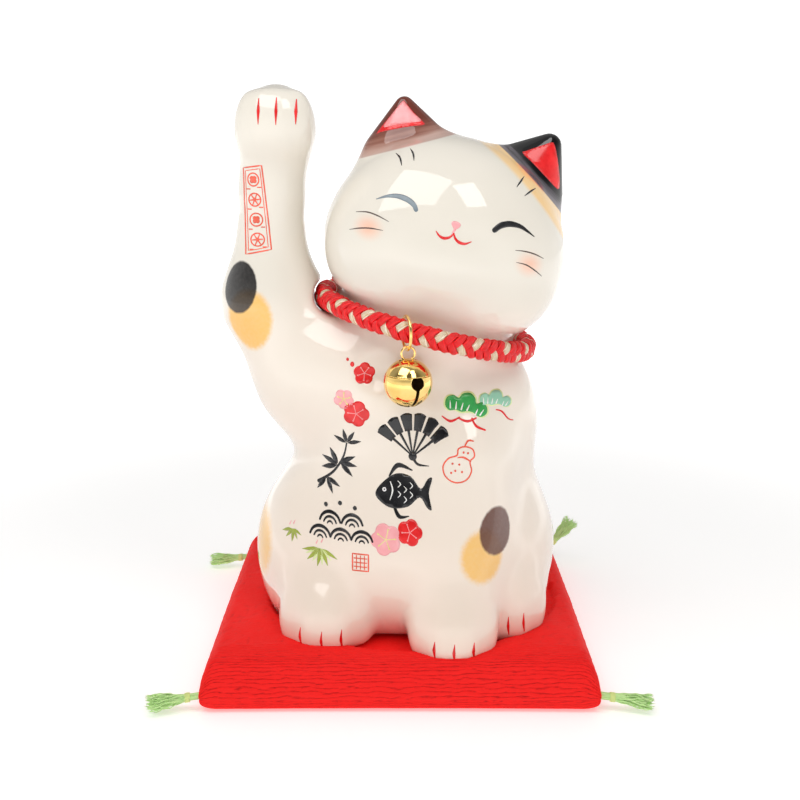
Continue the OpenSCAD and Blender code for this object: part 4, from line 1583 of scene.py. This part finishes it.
tie = {"Coil Radius": ("Float", 0.00122), "Thread": ("Float", 0.00026), "Turns": ("Float", 4.0),
       "From": ("Float", 0.0030), "To": ("Float", 0.0044), "Steps Along": ("Int", 97),
       "Steps Around": ("Int", 9)}


def tiePlace(tree, w):
    turn = w["along"] * w["Turns"] * (2 * math.pi)
    around = w["around"] * (2 * math.pi)
    thread = w["Thread"] * openEnds(w)
    out = w["Coil Radius"] + thread * around.cosine()
    x = w["From"] + (w["To"] - w["From"]) * w["along"] + thread * around.sine()
    return x, out * turn.cosine(), out * turn.sine()


def makeTassels():
    green = makeThread("paleGreenThread", (0.78, 1.0, 0.50), (0.60, 0.97, 0.34), (2, 30), 0.55, 0.0, 0.3)
    lime = makeThread("yellowGreenThread", (0.86, 0.96, 0.42), (0.70, 0.84, 0.24), (2, 30), 0.5, 0.0, 0.3)
    threads = strandTree("tasselThreads", tassel, 110, tasselPlace, [(green, 0)])
    winding = strandTree("tasselTie", tie, 1, tiePlace, [(lime, 0)])
    for corner, (signX, signY, rise, sweep, sizes) in tasselSets.items():
        angle = math.radians(sweep if signX > 0 else 180 - sweep)
        lift = math.radians(rise)
        ahead = np.array([math.cos(angle) * math.cos(lift), math.sin(angle) * math.cos(lift),
                          math.sin(lift)])
        side = np.array([-math.sin(angle), math.cos(angle), 0])
        turn = np.stack([ahead, side, np.cross(ahead, side)], 1)
        root = np.array([signX * tasselRoot["corner"], signY * tasselRoot["corner"], tasselRoot["height"]])
        root = root + ahead * tasselRoot["reach"]
        growPiece("tassel_" + corner, threads, sizes, turn, root, "tassel_" + corner,
                  ["tassel_" + corner])
        growPiece("tie_" + corner, winding, {}, turn, root, "tassel_" + corner, ["tie_" + corner])


makeTassels()
print("tassels made")


# the bell's pellet keeps its own solid

def finishPellet():
    material, tree, shader = newMaterial("steelPellet", {"Metallic": 1.0})
    where, _ = objectPlace(tree)
    spots = noise(tree, where, 1500.0, 3.0)
    feed(tree, shader.inputs["Base Color"], mixColour(tree, spots, (0.38, 0.37, 0.36), (0.62, 0.61, 0.60)))
    feed(tree, shader.inputs["Roughness"], spots * 0.25 + 0.25)
    addBump(tree, shader, spots, 0.00005, 0.4)
    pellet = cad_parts["bell_pellet"]
    for place in pellet.material_slots:
        place.material = material


finishPellet()
